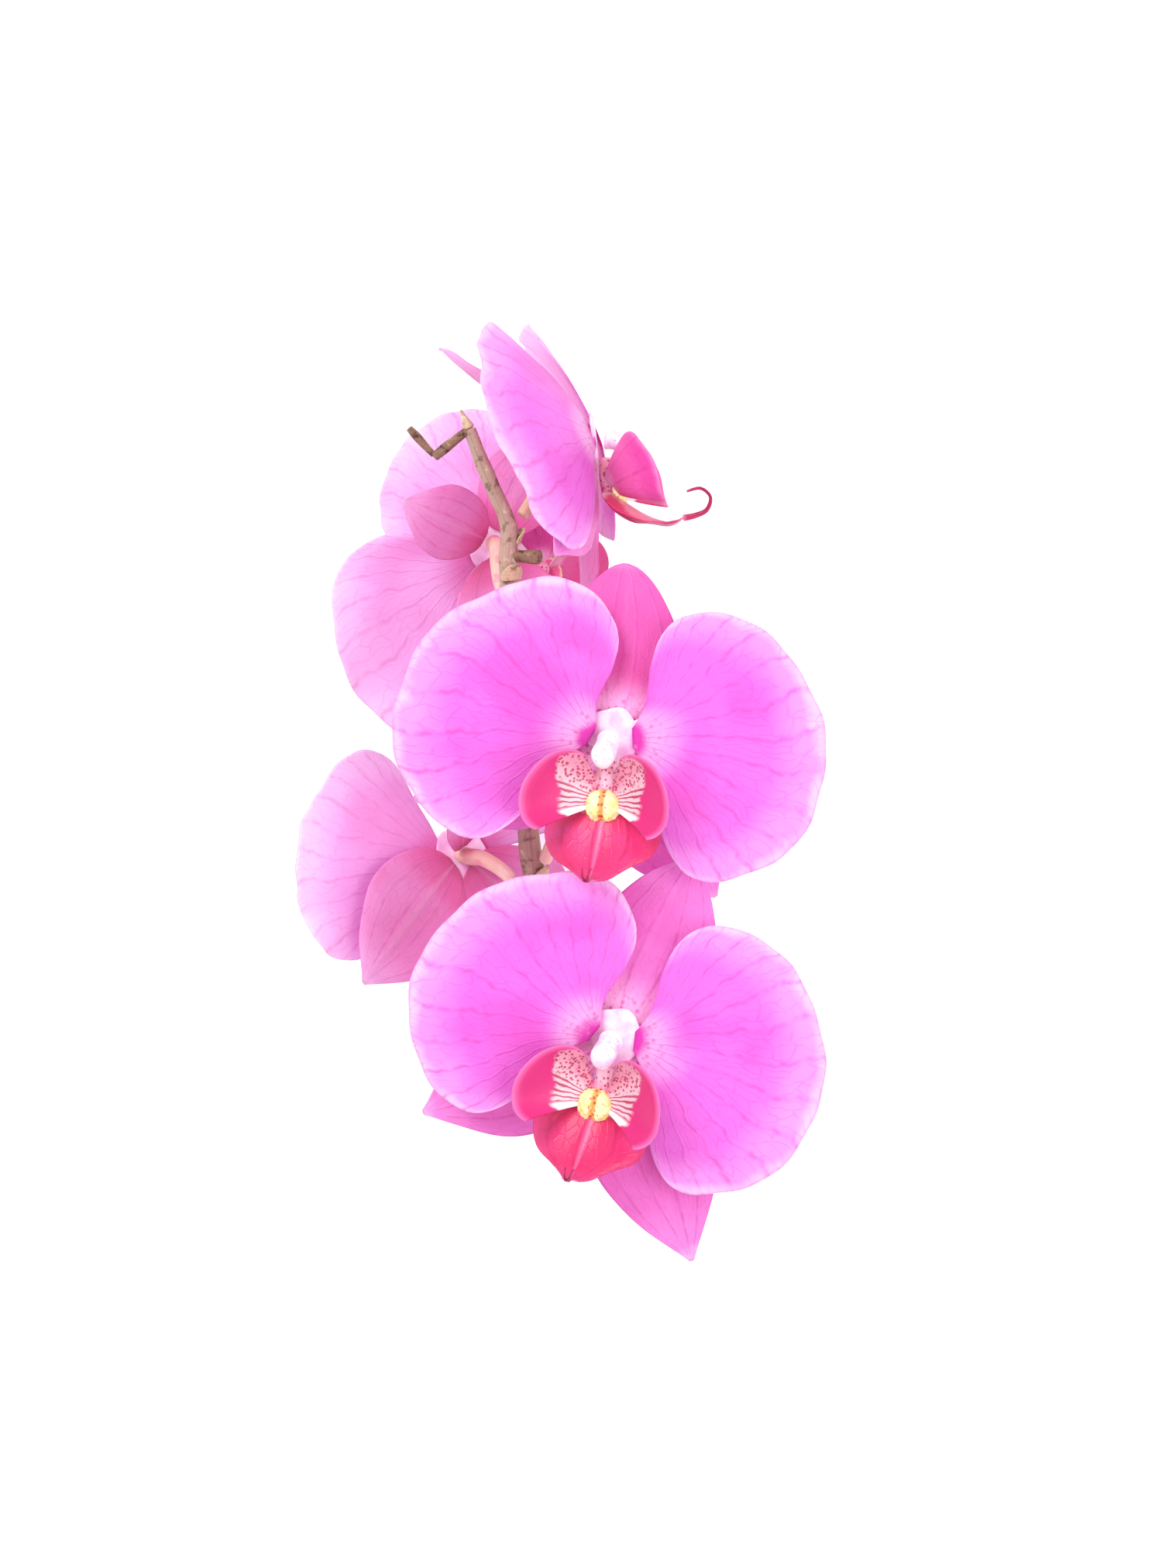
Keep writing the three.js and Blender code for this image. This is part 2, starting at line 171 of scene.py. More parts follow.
@dataclass(frozen=True)
class Tissue(Finish):
    """Living petal tissue: waxy, a little translucent, with branching veins from claw to rim.

    The cells scatter light, so the colour glows where light comes from behind, and the veins
    run deeper in colour and stand a little proud of the blade.
    """

    spot: str
    claw: str
    middle: str
    margin: str
    rim: str
    vein: str
    # The deeper pink of the painted shade laid over the middle of the blade.
    painted_shade: str
    vein_strength: float = 0.5
    main_veins: float = 34.0
    net: tuple[float, float] = (58.0, 7.0)
    freckle: str = "#a02060"
    freckle_reach: float = 0.0
    midrib: str = "#ffffff"
    midrib_strength: float = 0.0
    roughness: float = 0.42
    glow: float = 0.3
    vein_height: float = 0.16

    def ground(self, tree: Tree, place: Socket, length: Socket) -> Socket:
        """Blends the colour from claw to rim, with painted shade, a deeper pink, over the middle in
        patches.
        """
        clouds = add(tree, "TexNoise", {0: place, "Scale": every(9.09), "Detail": 3.0, "Roughness": 0.55})
        shift = add(tree, "Math", {0: clouds, 1: 0.16, 2: -0.08}, operation="MULTIPLY_ADD")
        blend = add(tree, "Math", {0: length, 1: shift}, operation="ADD")
        stops = (
            (0.03, self.spot),
            (0.1, self.claw),
            (0.34, self.middle),
            (0.66, self.middle),
            (0.92, self.margin),
            (1.0, self.rim),
        )
        base = add(tree, "ValToRGB", {0: blend}, stops=stops)
        # Painted shade: patches of deeper pink over the middle of the blade stand in for shadow.
        shade_patches = add(tree, "TexNoise", {0: place, "Scale": every(23.81), "Detail": 2.0})
        patch = add(tree, "MapRange", {0: shade_patches, 1: 0.42, 2: 0.62, 3: 0.0, 4: 0.75}, **SMOOTH)
        inward = add(tree, "MapRange", {0: length, 1: 0.95, 2: 0.5, 3: 0.0, 4: 1.0}, **SMOOTH)
        outward = add(tree, "MapRange", {0: length, 1: 0.1, 2: 0.35, 3: 0.0, 4: 1.0}, **SMOOTH)
        held = add(tree, "Math", {0: inward, 1: outward}, operation="MULTIPLY")
        painted_shade_share = add(tree, "Math", {0: held, 1: patch}, operation="MULTIPLY")
        return add(tree, "Mix", {0: painted_shade_share, 6: base, 7: linear(self.painted_shade)}, **COLOURS).outputs[2]

    def veins(self, tree: Tree, uv: Node, across: Socket, length: Socket) -> Node:
        """Draws main veins that fan out from the claw, 2 to 3 mm apart, and a net of small ones."""
        wander = add(tree, "TexNoise", {0: uv, "Scale": 5.0, "Detail": 2.0})
        lane = add(tree, "Math", {0: wander, 1: 0.06, 2: across}, operation="MULTIPLY_ADD")
        lanes = add(tree, "Math", {0: lane, 1: self.main_veins}, operation="MULTIPLY")
        offset = add(tree, "Math", {0: lanes, 1: 1.0}, operation="PINGPONG")
        lines = add(tree, "MapRange", {0: offset, 1: 0.0, 2: 0.26, 3: 1.0, 4: 0.0}, **SMOOTH)
        # The net's cells are long, 2 mm by 6 mm.
        warped = add(tree, "CombineXYZ", {0: lane, 1: length})
        cells = add(tree, "VectorMath", {0: warped, 1: (*self.net, 1.0)}, operation="MULTIPLY")
        edges = {"feature": "DISTANCE_TO_EDGE", "voronoi_dimensions": "2D"}
        net = add(tree, "TexVoronoi", {"Vector": cells, "Scale": 1.0, "Randomness": 0.9}, **edges)
        mesh = add(tree, "MapRange", {0: net, 1: 0.0, 2: 0.1, 3: 0.5, 4: 0.0}, **SMOOTH)
        return add(tree, "Math", {0: lines, 1: mesh}, operation="MAXIMUM")

    def veined(self, tree: Tree, place: Socket, veins: Node, ground: Socket) -> Socket:
        """Colours the veins, which come and go along their length every 3 mm or so."""
        breaks = add(tree, "TexNoise", {0: place, "Scale": every(3.03), "Detail": 2.0})
        shown = add(tree, "MapRange", {0: breaks, 1: 0.4, 2: 0.6, 3: 0.25, 4: 1.0})
        broken = add(tree, "Math", {0: veins, 1: shown}, operation="MULTIPLY")
        strength = add(tree, "Math", {0: broken, 1: self.vein_strength}, operation="MULTIPLY")
        return add(tree, "Mix", {0: strength, 6: ground, 7: linear(self.vein)}, **COLOURS).outputs[2]

    def ribbed(self, tree: Tree, across: Socket, colour: Socket) -> Socket:
        """Draws the pale midrib down the middle of the blade."""
        beside = add(tree, "Math", {0: across, 1: 0.5}, operation="SUBTRACT")
        gap = add(tree, "Math", {0: beside}, operation="ABSOLUTE")
        rib = add(tree, "MapRange", {0: gap, 2: 0.05, 3: self.midrib_strength, 4: 0.0}, **SMOOTH)
        return add(tree, "Mix", {0: rib, 6: colour, 7: linear(self.midrib)}, **COLOURS).outputs[2]

    def freckled(self, tree: Tree, place: Socket, length: Socket, colour: Socket) -> Socket:
        """Draws freckles, about 0.7 mm across, that crowd the claw and thin out towards the rim."""
        spots = add(tree, "TexVoronoi", {"Vector": place, "Scale": every(1.613), "Randomness": 1.0})
        dots = add(tree, "MapRange", {0: spots, 1: 0.22, 2: 0.42, 3: 1.0, 4: 0.0})
        near = {0: length, 1: 0.0, 2: self.freckle_reach, 3: 1.0, 4: 0.0}
        reach = add(tree, "MapRange", near, **SMOOTH)
        share = add(tree, "Math", {0: dots, 1: reach}, operation="MULTIPLY")
        return add(tree, "Mix", {0: share, 6: colour, 7: linear(self.freckle)}, **COLOURS).outputs[2]

    def shader(self, tree: Tree) -> Node:
        """Builds the tissue's nodes and returns the shader node."""
        uv, across, length, place = places(tree)
        veins = self.veins(tree, uv, across, length)
        colour = self.veined(tree, place, veins, self.ground(tree, place, length))
        if self.midrib_strength > 0:
            colour = self.ribbed(tree, across, colour)
        if self.freckle_reach > 0:
            colour = self.freckled(tree, place, length, colour)
        # Papillae: the velvety grain of petal skin is finer than 0.1 mm and is drawn at 0.4 mm.
        grain = add(tree, "TexNoise", {0: place, "Scale": every(0.4), "Detail": 2.0})
        relief = add(tree, "Math", {0: grain, 1: 0.25, 2: veins}, operation="MULTIPLY_ADD")
        bump = add(tree, "Bump", {"Height": relief, "Strength": 0.5, "Distance": self.vein_height * MM})
        skin = add(
            tree,
            "BsdfPrincipled",
            {
                "Base Color": colour,
                "Roughness": self.roughness,
                "IOR": PETAL_IOR,
                "Sheen Weight": 0.12,
                "Sheen Roughness": 0.4,
                "Normal": bump,
            },
        )
        through = add(tree, "BsdfTranslucent", {"Color": colour, "Normal": bump})
        return add(tree, "MixShader", {0: self.glow, 1: skin, 2: through})


@dataclass(frozen=True)
class StripedLobe(Finish):
    """Inner face of a lip's side lobe: freckled beside the column, barred with crimson below.

    Its middle is pale and its broad outer border is a plain glossy crimson pink.
    """

    name: str = "lip side lobe, inner face"
    ground: str = "#f7c9d8"
    freckled: str = "#ec9cba"
    border: str = "#dc3080"
    rim: str = "#f06cb4"
    bar: str = "#b3224f"
    patch: str = "#fff4f6"
    roughness: float = 0.36
    glow: float = 0.15

    def marked(self, tree: Tree, place: Socket, across: Socket, wobble: Node) -> Socket:
        """Draws the pale middle with its bars, and freckles that take their place near the column."""
        stops = ((0.15, self.freckled), (0.45, self.ground), (0.84, self.ground), (0.92, self.patch))
        inner = add(tree, "ValToRGB", {0: across}, stops=stops)
        # The bars run out from the callus, 1.6 mm apart, and waver. The freckles are 0.9 mm apart.
        lane = add(tree, "Math", {0: wobble, 1: 0.09, 2: across}, operation="MULTIPLY_ADD")
        bars = add(tree, "Math", {0: lane, 1: 21.0}, operation="MULTIPLY")
        swing = add(tree, "Math", {0: bars, 1: 1.0}, operation="PINGPONG")
        stripe = add(tree, "MapRange", {0: swing, 1: 0.45, 2: 0.75, 3: 0.0, 4: 1.0}, **SMOOTH)
        spots = add(tree, "TexVoronoi", {"Vector": place, "Scale": every(0.8696)})
        dots = add(tree, "MapRange", {0: spots, 1: 0.28, 2: 0.5, 3: 1.0, 4: 0.0})
        below = add(tree, "MapRange", {0: across, 1: 0.38, 2: 0.5, 3: 0.0, 4: 1.0}, **SMOOTH)
        marks = add(tree, "Mix", {0: below, 2: dots, 3: stripe}, data_type="FLOAT")
        bare = add(tree, "MapRange", {0: across, 1: 0.84, 2: 0.9, 3: 0.9, 4: 0.0})
        share = add(tree, "Math", {0: marks, 1: bare}, operation="MULTIPLY")
        return add(tree, "Mix", {0: share, 6: inner, 7: linear(self.bar)}, **COLOURS).outputs[2]

    def shader(self, tree: Tree) -> Node:
        """Builds the lobe's nodes and returns the shader node."""
        uv, across, length, place = places(tree)
        wobble = add(tree, "TexNoise", {0: uv, "Scale": 6.0, "Detail": 2.0})
        marked = self.marked(tree, place, across, wobble)
        stops = ((0.6, self.border), (0.9, self.border), (1.0, self.rim))
        outer = add(tree, "ValToRGB", {0: length}, stops=stops)
        # The pale middle is tall beside the column and narrows towards the mid lobe.
        ragged = add(tree, "Math", {0: wobble, 1: 0.16, 2: length}, operation="MULTIPLY_ADD")
        limit = add(tree, "MapRange", {0: across, 1: 0.1, 2: 0.65, 3: 1.04, 4: 0.6}, **SMOOTH)
        past = add(tree, "Math", {0: ragged, 1: limit}, operation="SUBTRACT")
        edge = add(tree, "MapRange", {0: past, 1: -0.04, 2: 0.04, 3: 0.0, 4: 1.0}, **SMOOTH)
        colour = add(tree, "Mix", {0: edge, 6: marked, 7: outer}, **COLOURS).outputs[2]
        grain = add(tree, "TexNoise", {0: place, "Scale": every(1.111), "Detail": 3.0})
        bump = add(tree, "Bump", {"Height": grain, "Strength": 0.3, "Distance": 0.15 * MM})
        wax = {"Base Color": colour, "Roughness": self.roughness, "IOR": PETAL_IOR, "Normal": bump}
        skin = add(tree, "BsdfPrincipled", wax)
        through = add(tree, "BsdfTranslucent", {"Color": colour})
        return add(tree, "MixShader", {0: self.glow, 1: skin, 2: through})


@dataclass(frozen=True)
class Dotted(Finish):
    """Fleshy, glossy tissue with dots: the column, the collar behind it and the lip's claw."""

    ground: str
    flush: str
    dot: str
    dot_size: float
    dot_share: float
    roughness: float

    def shader(self, tree: Tree) -> Node:
        """Builds the tissue's nodes and returns the shader node."""
        *_, place = places(tree)
        clouds = add(tree, "TexNoise", {0: place, "Scale": every(3.846), "Detail": 3.0})
        base = add(tree, "ValToRGB", {0: clouds}, stops=((0.38, self.ground), (0.7, self.flush)))
        spots = add(tree, "TexVoronoi", {"Vector": place, "Scale": every(self.dot_size)})
        inner, outer = self.dot_share * 0.7, self.dot_share * 1.3
        dots = add(tree, "MapRange", {0: spots, 1: inner, 2: outer, 3: 0.9, 4: 0.0})
        colour = add(tree, "Mix", {0: dots, 6: base, 7: linear(self.dot)}, **COLOURS)
        bump = add(tree, "Bump", {"Height": clouds, "Strength": 0.3, "Distance": 0.4 * MM})
        return add(
            tree,
            "BsdfPrincipled",
            {
                "Base Color": colour.outputs[2],
                "Roughness": self.roughness,
                "IOR": PETAL_IOR,
                "Subsurface Weight": 0.2,
                "Subsurface Radius": (1.0, 0.5, 0.4),
                "Subsurface Scale": 1.2 * MM,
                "Normal": bump,
            },
        )


@dataclass(frozen=True)
class TwoCheeked(Finish):
    """The callus: two waxy cream-yellow cheeks and an orange cleft with red dots between them."""

    name: str = "lip callus"
    cheek: str = "#fdf3bc"
    shade: str = "#f9e08e"
    cleft: str = "#f2a860"
    back: str = "#e05a90"
    dot: str = "#b8282c"
    roughness: float = 0.3

    def shader(self, tree: Tree) -> Node:
        """Builds the callus's nodes and returns the shader node."""
        _, turn, height, place = places(tree)
        clouds = add(tree, "TexNoise", {0: place, "Scale": every(2.381), "Detail": 3.0})
        cream = add(tree, "ValToRGB", {0: clouds}, stops=((0.35, self.cheek), (0.7, self.shade)))
        around = add(tree, "Math", {0: turn, 1: math.tau}, operation="MULTIPLY")
        swing = add(tree, "Math", {0: around}, operation="COSINE")
        beside = add(tree, "Math", {0: swing}, operation="ABSOLUTE")
        rise = add(tree, "Math", {0: height, 1: math.pi}, operation="MULTIPLY")
        level = add(tree, "Math", {0: rise}, operation="SINE")
        off = add(tree, "Math", {0: beside, 1: level}, operation="MULTIPLY")
        groove = add(tree, "MapRange", {0: off, 1: 0.08, 2: 0.3, 3: 1.0, 4: 0.0}, **SMOOTH)
        warm = add(tree, "Mix", {0: groove, 6: cream, 7: linear(self.cleft)}, **COLOURS).outputs[2]
        # Red dots, 1 mm apart, crowd the cleft and are scattered over the cheeks.
        spots = add(tree, "TexVoronoi", {"Vector": place, "Scale": every(1.111)})
        size = add(tree, "MapRange", {0: groove, 3: 0.16, 4: 0.42})
        inside = add(tree, "Math", {0: spots, 1: size}, operation="LESS_THAN")
        faded = add(tree, "Math", {0: inside, 1: 0.8}, operation="MULTIPLY")
        face = add(tree, "Mix", {0: faded, 6: warm, 7: linear(self.dot)}, **COLOURS).outputs[2]
        # Behind, the callus is the same pink as the back of the lip.
        behind = add(tree, "MapRange", {0: height, 1: 0.3, 2: 0.42, 3: 1.0, 4: 0.0})
        whole = add(tree, "Mix", {0: behind, 6: face, 7: linear(self.back)}, **COLOURS)
        bump = add(tree, "Bump", {"Height": clouds, "Strength": 0.4, "Distance": 0.4 * MM})
        return add(
            tree,
            "BsdfPrincipled",
            {
                "Base Color": whole.outputs[2],
                "Roughness": self.roughness,
                "IOR": PETAL_IOR,
                "Subsurface Weight": 0.15,
                "Subsurface Radius": (1.0, 0.7, 0.3),
                "Subsurface Scale": 1.0 * MM,
                "Normal": bump,
            },
        )


@dataclass(frozen=True)
class Stalk(Finish):
    """Plant stem: smooth pink-cream pedicel skin or dry brown bark, mottled and streaked lengthwise."""

    ground: str
    light: str
    dark: str
    streak: str
    mottle: float
    ridge: float
    roughness: float
    streak_strength: float = 0.5

    def shader(self, tree: Tree) -> Node:
        """Builds the stem's nodes and returns the shader node."""
        uv, _, _, place = places(tree)
        mottling = {0: place, "Scale": every(self.mottle), "Detail": 5.0, "Roughness": 0.62}
        clouds = add(tree, "TexNoise", mottling)
        stops = ((0.36, self.dark), (0.47, self.ground), (0.57, self.ground), (0.7, self.light))
        base = add(tree, "ValToRGB", {0: clouds}, stops=stops)
        drawn = add(tree, "VectorMath", {0: uv, 1: (22.0, 5.0, 1.0)}, operation="MULTIPLY")
        grain = add(tree, "TexNoise", {0: drawn, "Scale": 1.0, "Detail": 4.0, "Roughness": 0.6})
        lines = add(tree, "MapRange", {0: grain, 1: 0.5, 2: 0.72, 3: 0.0, 4: self.streak_strength})
        colour = add(tree, "Mix", {0: lines, 6: base, 7: linear(self.streak)}, **COLOURS).outputs[2]
        relief = add(tree, "Math", {0: grain, 1: clouds}, operation="ADD")
        bump = add(tree, "Bump", {"Height": relief, "Strength": 0.6, "Distance": self.ridge * MM})
        skin = {"Base Color": colour, "Roughness": self.roughness, "IOR": BARK_IOR, "Normal": bump}
        return add(tree, "BsdfPrincipled", skin)


@dataclass(frozen=True)
class Paper(Finish):
    """Matt paper of the surface that the spray lies on, lifted to an even white."""

    name: str = "white paper"
    colour: str = "#ffffff"
    roughness: float = 0.9
    lift: float = 0.2

    def shader(self, tree: Tree) -> Node:
        """Builds the paper's node and returns it."""
        white = linear(self.colour)
        lifted = {"Emission Color": white, "Emission Strength": self.lift}
        return add(tree, "BsdfPrincipled", {"Base Color": white, "Roughness": self.roughness, **lifted})


# Petal skin has velvety cells over airy tissue, which make its orchid pink look bright and soft.
PETAL_FACE = Tissue(
    name="petal tissue, face",
    spot="#e83cc0",
    claw="#f8b4f0",
    middle="#ee72e2",
    margin="#f79cf0",
    rim="#fdcaf8",
    vein="#d23cae",
    painted_shade="#e95ad0",
    # A deeper pink of painted shade lies in patches over the middle of the blade.
    freckle="#dc74bc",
    freckle_reach=0.26,
)
# The back has less pigment, so it looks paler, and its veins are fainter.
PETAL_BACK = Tissue(
    name="petal tissue, back",
    spot="#ee5aac",
    claw="#f48cd0",
    middle="#fcc6f8",
    margin="#fedcfd",
    rim="#fee2fd",
    vein="#e682cc",
    painted_shade="#faaeea",
    vein_strength=0.4,
)
# Sepals are thicker than petals, with more pigment, so their pink is deeper and less clear.
SEPAL_FACE = Tissue(
    name="sepal tissue, face",
    spot="#f5c0e4",
    claw="#f6b4e6",
    middle="#ef80d6",
    margin="#f592e2",
    rim="#fcc4f4",
    vein="#cc48a4",
    painted_shade="#e868c6",
    vein_strength=0.5,
    main_veins=9.0,
    net=(18.0, 9.0),
    freckle="#d25cae",
    freckle_reach=0.3,
)
DEEP_SEPAL_FACE = replace(
    SEPAL_FACE,
    name="sepal tissue, deep face",
    middle="#e25cb4",
    margin="#e468bc",
    rim="#f08cd2",
    painted_shade="#d84c9e",
)
# The outside of a sepal has a pale midrib and a dusty look.
SEPAL_BACK = Tissue(
    name="sepal tissue, back",
    spot="#e668a4",
    claw="#ee78b8",
    middle="#f7a8e2",
    margin="#fbc2f1",
    rim="#fee0fa",
    vein="#da6cb4",
    painted_shade="#f094d0",
    vein_strength=0.45,
    main_veins=9.0,
    net=(18.0, 9.0),
    midrib="#f6c0de",
    midrib_strength=0.35,
)
# The lip is stiff and waxy, so its crimson has a gloss that the petals lack.
MID_LOBE_FACE = Tissue(
    name="lip mid lobe, face",
    spot="#f7c6d2",
    claw="#d62a5e",
    middle="#da2e6c",
    margin="#e04486",
    rim="#f07cb4",
    vein="#b01852",
    painted_shade="#e44c92",
    vein_strength=0.4,
    main_veins=7.0,
    net=(14.0, 7.0),
    midrib="#f08cc0",
    midrib_strength=0.45,
    glow=0.12,
    roughness=0.3,
)
MID_LOBE_DARK = Tissue(
    name="lip mid lobe, deep back",
    spot="#f0a8c4",
    claw="#cf2c66",
    middle="#b81c56",
    margin="#c42c70",
    rim="#e870ac",
    vein="#8c1040",
    painted_shade="#a01450",
    main_veins=7.0,
    net=(14.0, 7.0),
    glow=0.1,
    roughness=0.32,
)
MID_LOBE_BACK = replace(
    MID_LOBE_DARK,
    name="lip mid lobe, back",
    claw="#dc5a9c",
    middle="#d8488c",
    margin="#dc58a0",
    vein="#b02868",
    painted_shade="#d04084",
)
# The outside of a side lobe flushes from a white base to a bright pink.
SIDE_LOBE_BACK = Tissue(
    name="lip side lobe, back",
    spot="#fbd6ea",
    claw="#f9c0e4",
    middle="#ee6cba",
    margin="#e450a8",
    rim="#f084c8",
    vein="#cc3c90",
    painted_shade="#e658ae",
    main_veins=6.0,
    net=(12.0, 6.0),
    glow=0.2,
)
SIDE_LOBE_FACE = StripedLobe()
CALLUS = TwoCheeked()
# The fleshy parts at the centre are moist and let some light in, so they shine softly.
CLAW_SKIN = Dotted(
    name="lip claw skin",
    ground="#f4b4c8",
    flush="#e888a8",
    dot="#a82850",
    dot_size=1.0,
    dot_share=0.32,
    roughness=0.4,
)
COLUMN_WAX = Dotted(
    name="column wax",
    ground="#fdf2fb",
    flush="#f3c3ee",
    dot="#e8a0dc",
    dot_size=1.4,
    dot_share=0.16,
    roughness=0.28,
)
COLLAR = Dotted(
    name="collar tissue",
    ground="#f8d8f0",
    flush="#f2b0e0",
    dot="#e890cc",
    dot_size=0.9,
    dot_share=0.12,
    roughness=0.45,
)
# A young stalk is smooth and plump. An old one turns to dull, streaked, corky brown.
PEDICEL_SKIN = Stalk(
    name="pedicel skin",
    ground="#f0c9b4",
    light="#f6dcc8",
    dark="#eaa4ac",
    streak="#e58aa0",
    mottle=5.882,
    streak_strength=0.35,
    ridge=0.08,
    roughness=0.45,
)
OLD_STALK = Stalk(
    name="pedicel skin, browned",
    ground="#d2a88e",
    light="#e8c8ae",
    dark="#a67560",
    streak="#9c6a5c",
    mottle=3.333,
    ridge=0.12,
    roughness=0.6,
)
STEM_BARK = Stalk(
    name="stem skin, browned",
    ground="#b39684",
    light="#d6bca6",
    dark="#84675a",
    streak="#5f4036",
    mottle=3.03,
    ridge=0.2,
    roughness=0.7,
)
DEAD_WOOD = Stalk(
    name="dry twig",
    ground="#8a6a55",
    light="#b09478",
    dark="#4a3128",
    streak="#3c2620",
    mottle=2.0,
    ridge=0.25,
    roughness=0.8,
)
DRY_BRACT = Stalk(
    name="dry bract",
    ground="#cdb391",
    light="#e6d4b8",
    dark="#96745a",
    streak="#7c5a44",
    mottle=2.381,
    ridge=0.12,
    roughness=0.75,
)


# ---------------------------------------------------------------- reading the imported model


def corners(node: str) -> tuple[Array, list[tuple[int, int, int]]]:
    """Reads a CAD node's distinct corners and its triangles.

    Args:
        node: the node's name.

    Returns:
        The corners in millimetres, and each triangle's three corner numbers.
    """
    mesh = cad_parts[node].data
    raw = np.array([v.co for v in mesh.vertices], float) / MM
    distinct, index = np.unique(raw.round(3), axis=0, return_inverse=True)
    index = index.reshape(-1)
    faces = [tuple(int(index[i]) for i in face.vertices) for face in mesh.polygons]
    return distinct, faces


def rings(node: str) -> tuple[Array, Array]:
    """Finds the centre line of a round stalk from the rings of corners that its solid is made of.

    Args:
        node: the name of a stalk's node.

    Returns:
        The centre of each ring in millimetres, from one end to the other, and each ring's radius.
    """
    points, faces = corners(node)
    beside: list[set[int]] = [set() for _ in points]
    for a, b, c in faces:
        beside[a] |= {b, c}
        beside[b] |= {a, c}
        beside[c] |= {a, b}
    for start in range(len(points)):
        levels, seen = [{start}], {start}
        while levels[-1]:
            reached = set().union(*(beside[i] for i in levels[-1])) - seen
            seen |= reached
            levels.append(reached)
        levels.pop()
        sizes = {len(level) for level in levels[1:-1]}
        if len(sizes) == 1 and len(levels[-1]) == 1 and sizes.pop() >= 8:
            middle = [points[list(level)] for level in levels[1:-1]]
            centres = np.array([ring.mean(0) for ring in middle])
            radii = np.array([np.linalg.norm(ring - ring.mean(0), axis=1).mean() for ring in middle])
            return centres, radii
    raise ValueError(f"{node} isn't made of rings")


@dataclass(frozen=True)
class Axes:
    """A place and three directions that a flower's pieces are drawn in, in millimetres."""

    origin: Array
    turn: Array

    def world(self, local: Array) -> Array:
        """Turns points from these axes to the model's own."""
        return local @ self.turn.T + self.origin


@dataclass(frozen=True)
class ColumnForm:
    """The column's sizes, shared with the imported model."""

    length: float = 10.5
    base_radius: float = 2.3
    cap_radius: float = 3.1
    droop: float = 20.0
    start: float = 2.3
    collar_radius: float = 7.0
    collar_height: float = 0.1


def face_axes(name: str, column: ColumnForm) -> Axes:
    """Measures the axes that a flower's lip and column are drawn in.

    Args:
        name: the flower's name.
        column: the column's sizes.

    Returns:
        Axes at the flower's centre: x to its right, y up its face, z out of its face.
    """
    points, _ = corners(f"{name}_flower_column")
    lip, _ = corners(f"{name}_flower_lip")
    centre = points.mean(0)
    _, _, directions = np.linalg.svd(points - centre)
    axis = directions[0]
    toward = lip.mean(0) - centre
    axis = axis if axis @ toward > 0 else -axis
    base = centre + axis * ((points - centre) @ axis).min()
    below = toward - axis * (toward @ axis)
    below /= np.linalg.norm(below)
    sine, cosine = turned(column.droop)
    out = cosine * axis - sine * below
    up = -sine * axis - cosine * below
    right = np.cross(up, out)
    return Axes(base - column.start * out, np.column_stack([right, up, out]))


# ---------------------------------------------------------------- meshes


def deselect() -> None:
    """Leaves nothing selected."""
    bpy.ops.object.select_all(action="DESELECT")


def seal(piece: Piece) -> None:
    """Merges a piece's edges where they meet, and faces it outwards."""
    bpy.context.view_layer.objects.active = piece
    bpy.ops.object.mode_set(mode="EDIT")
    bpy.ops.mesh.select_all(action="SELECT")
    bpy.ops.mesh.remove_doubles(threshold=MERGE * MM)
    bpy.ops.mesh.normals_make_consistent(inside=False)
    bpy.ops.object.mode_set(mode="OBJECT")


def woven(name: str, cells: tuple[int, int], surface: Surface, closed: bool = False) -> Piece:
    """Adds a grid and moves it onto a surface.

    Args:
        name: the piece's name.
        cells: how many cells it has across and along.
        surface: gives points in millimetres for places across and along, both from 0 to 1.
        closed: whether its edges meet, as round a stalk, and are merged.

    Returns:
        The new piece, with its UV map across and along.
    """
    deselect()
    across, rows = cells
    bpy.ops.mesh.primitive_grid_add(x_subdivisions=across, y_subdivisions=rows, size=2, calc_uvs=True)
    piece = bpy.context.object
    piece.name = piece.data.name = name
    flat = np.empty(len(piece.data.vertices) * 3)
    piece.data.vertices.foreach_get("co", flat)
    flat = flat.reshape(-1, 3)
    points = surface((flat[:, 0] + 1) / 2, (flat[:, 1] + 1) / 2) * MM
    piece.data.vertices.foreach_set("co", points.reshape(-1))
    piece.data.update()
    if closed:
        seal(piece)
    bpy.ops.object.shade_smooth()
    return piece


def thicken(piece: Piece, thickness: float, thin_share: float, cells: tuple[int, int]) -> None:
    """Gives a sheet a wall that thins towards its rim, with the second material on its back.

    Args:
        piece: a sheet made by woven.
        thickness: the wall in millimetres.
        thin_share: how much of the wall is left at the rim.
        cells: how many cells the sheet has across and along.
    """
    across, rows = cells
    group = piece.vertex_groups.new(name="wall")
    columns = across + 1
    for i in range(len(piece.data.vertices)):
        row, column = divmod(i, columns)
        side = min(column, across - column) / across * RIM_SHARE
        end = (rows - row) / rows * RIM_SHARE
        group.add([i], max(0.0, min(1.0, side, end)), "REPLACE")
    wall = piece.modifiers.new("wall", "SOLIDIFY")
    wall.thickness = thickness * MM
    wall.offset = 0.0
    wall.vertex_group = "wall"
    wall.thickness_vertex_group = thin_share
    wall.material_offset = 1
    wall.use_even_offset = False
    bpy.context.view_layer.objects.active = piece
    bpy.ops.object.modifier_apply(modifier="wall")
    piece.vertex_groups.clear()


def flip_across(piece: Piece) -> None:
    """Turns a piece's UV map round, so that a left piece wears its pattern as a right one does."""
    for corner in piece.data.uv_layers.active.data:
        corner.uv.x = 1 - corner.uv.x


def wear(piece: Piece, *finishes: Finish) -> None:
    """Gives a piece its materials, in slot order."""
    for finish in finishes:
        piece.data.materials.append(finish.material())


def hand_over(piece: Piece, slot: str, *nodes: str) -> None:
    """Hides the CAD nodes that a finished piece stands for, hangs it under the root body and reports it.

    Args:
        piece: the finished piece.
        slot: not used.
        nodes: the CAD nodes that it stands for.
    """
    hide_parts(*nodes)
    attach(piece, "root")
    log.info("%s: %d faces", piece.name, len(piece.data.polygons))


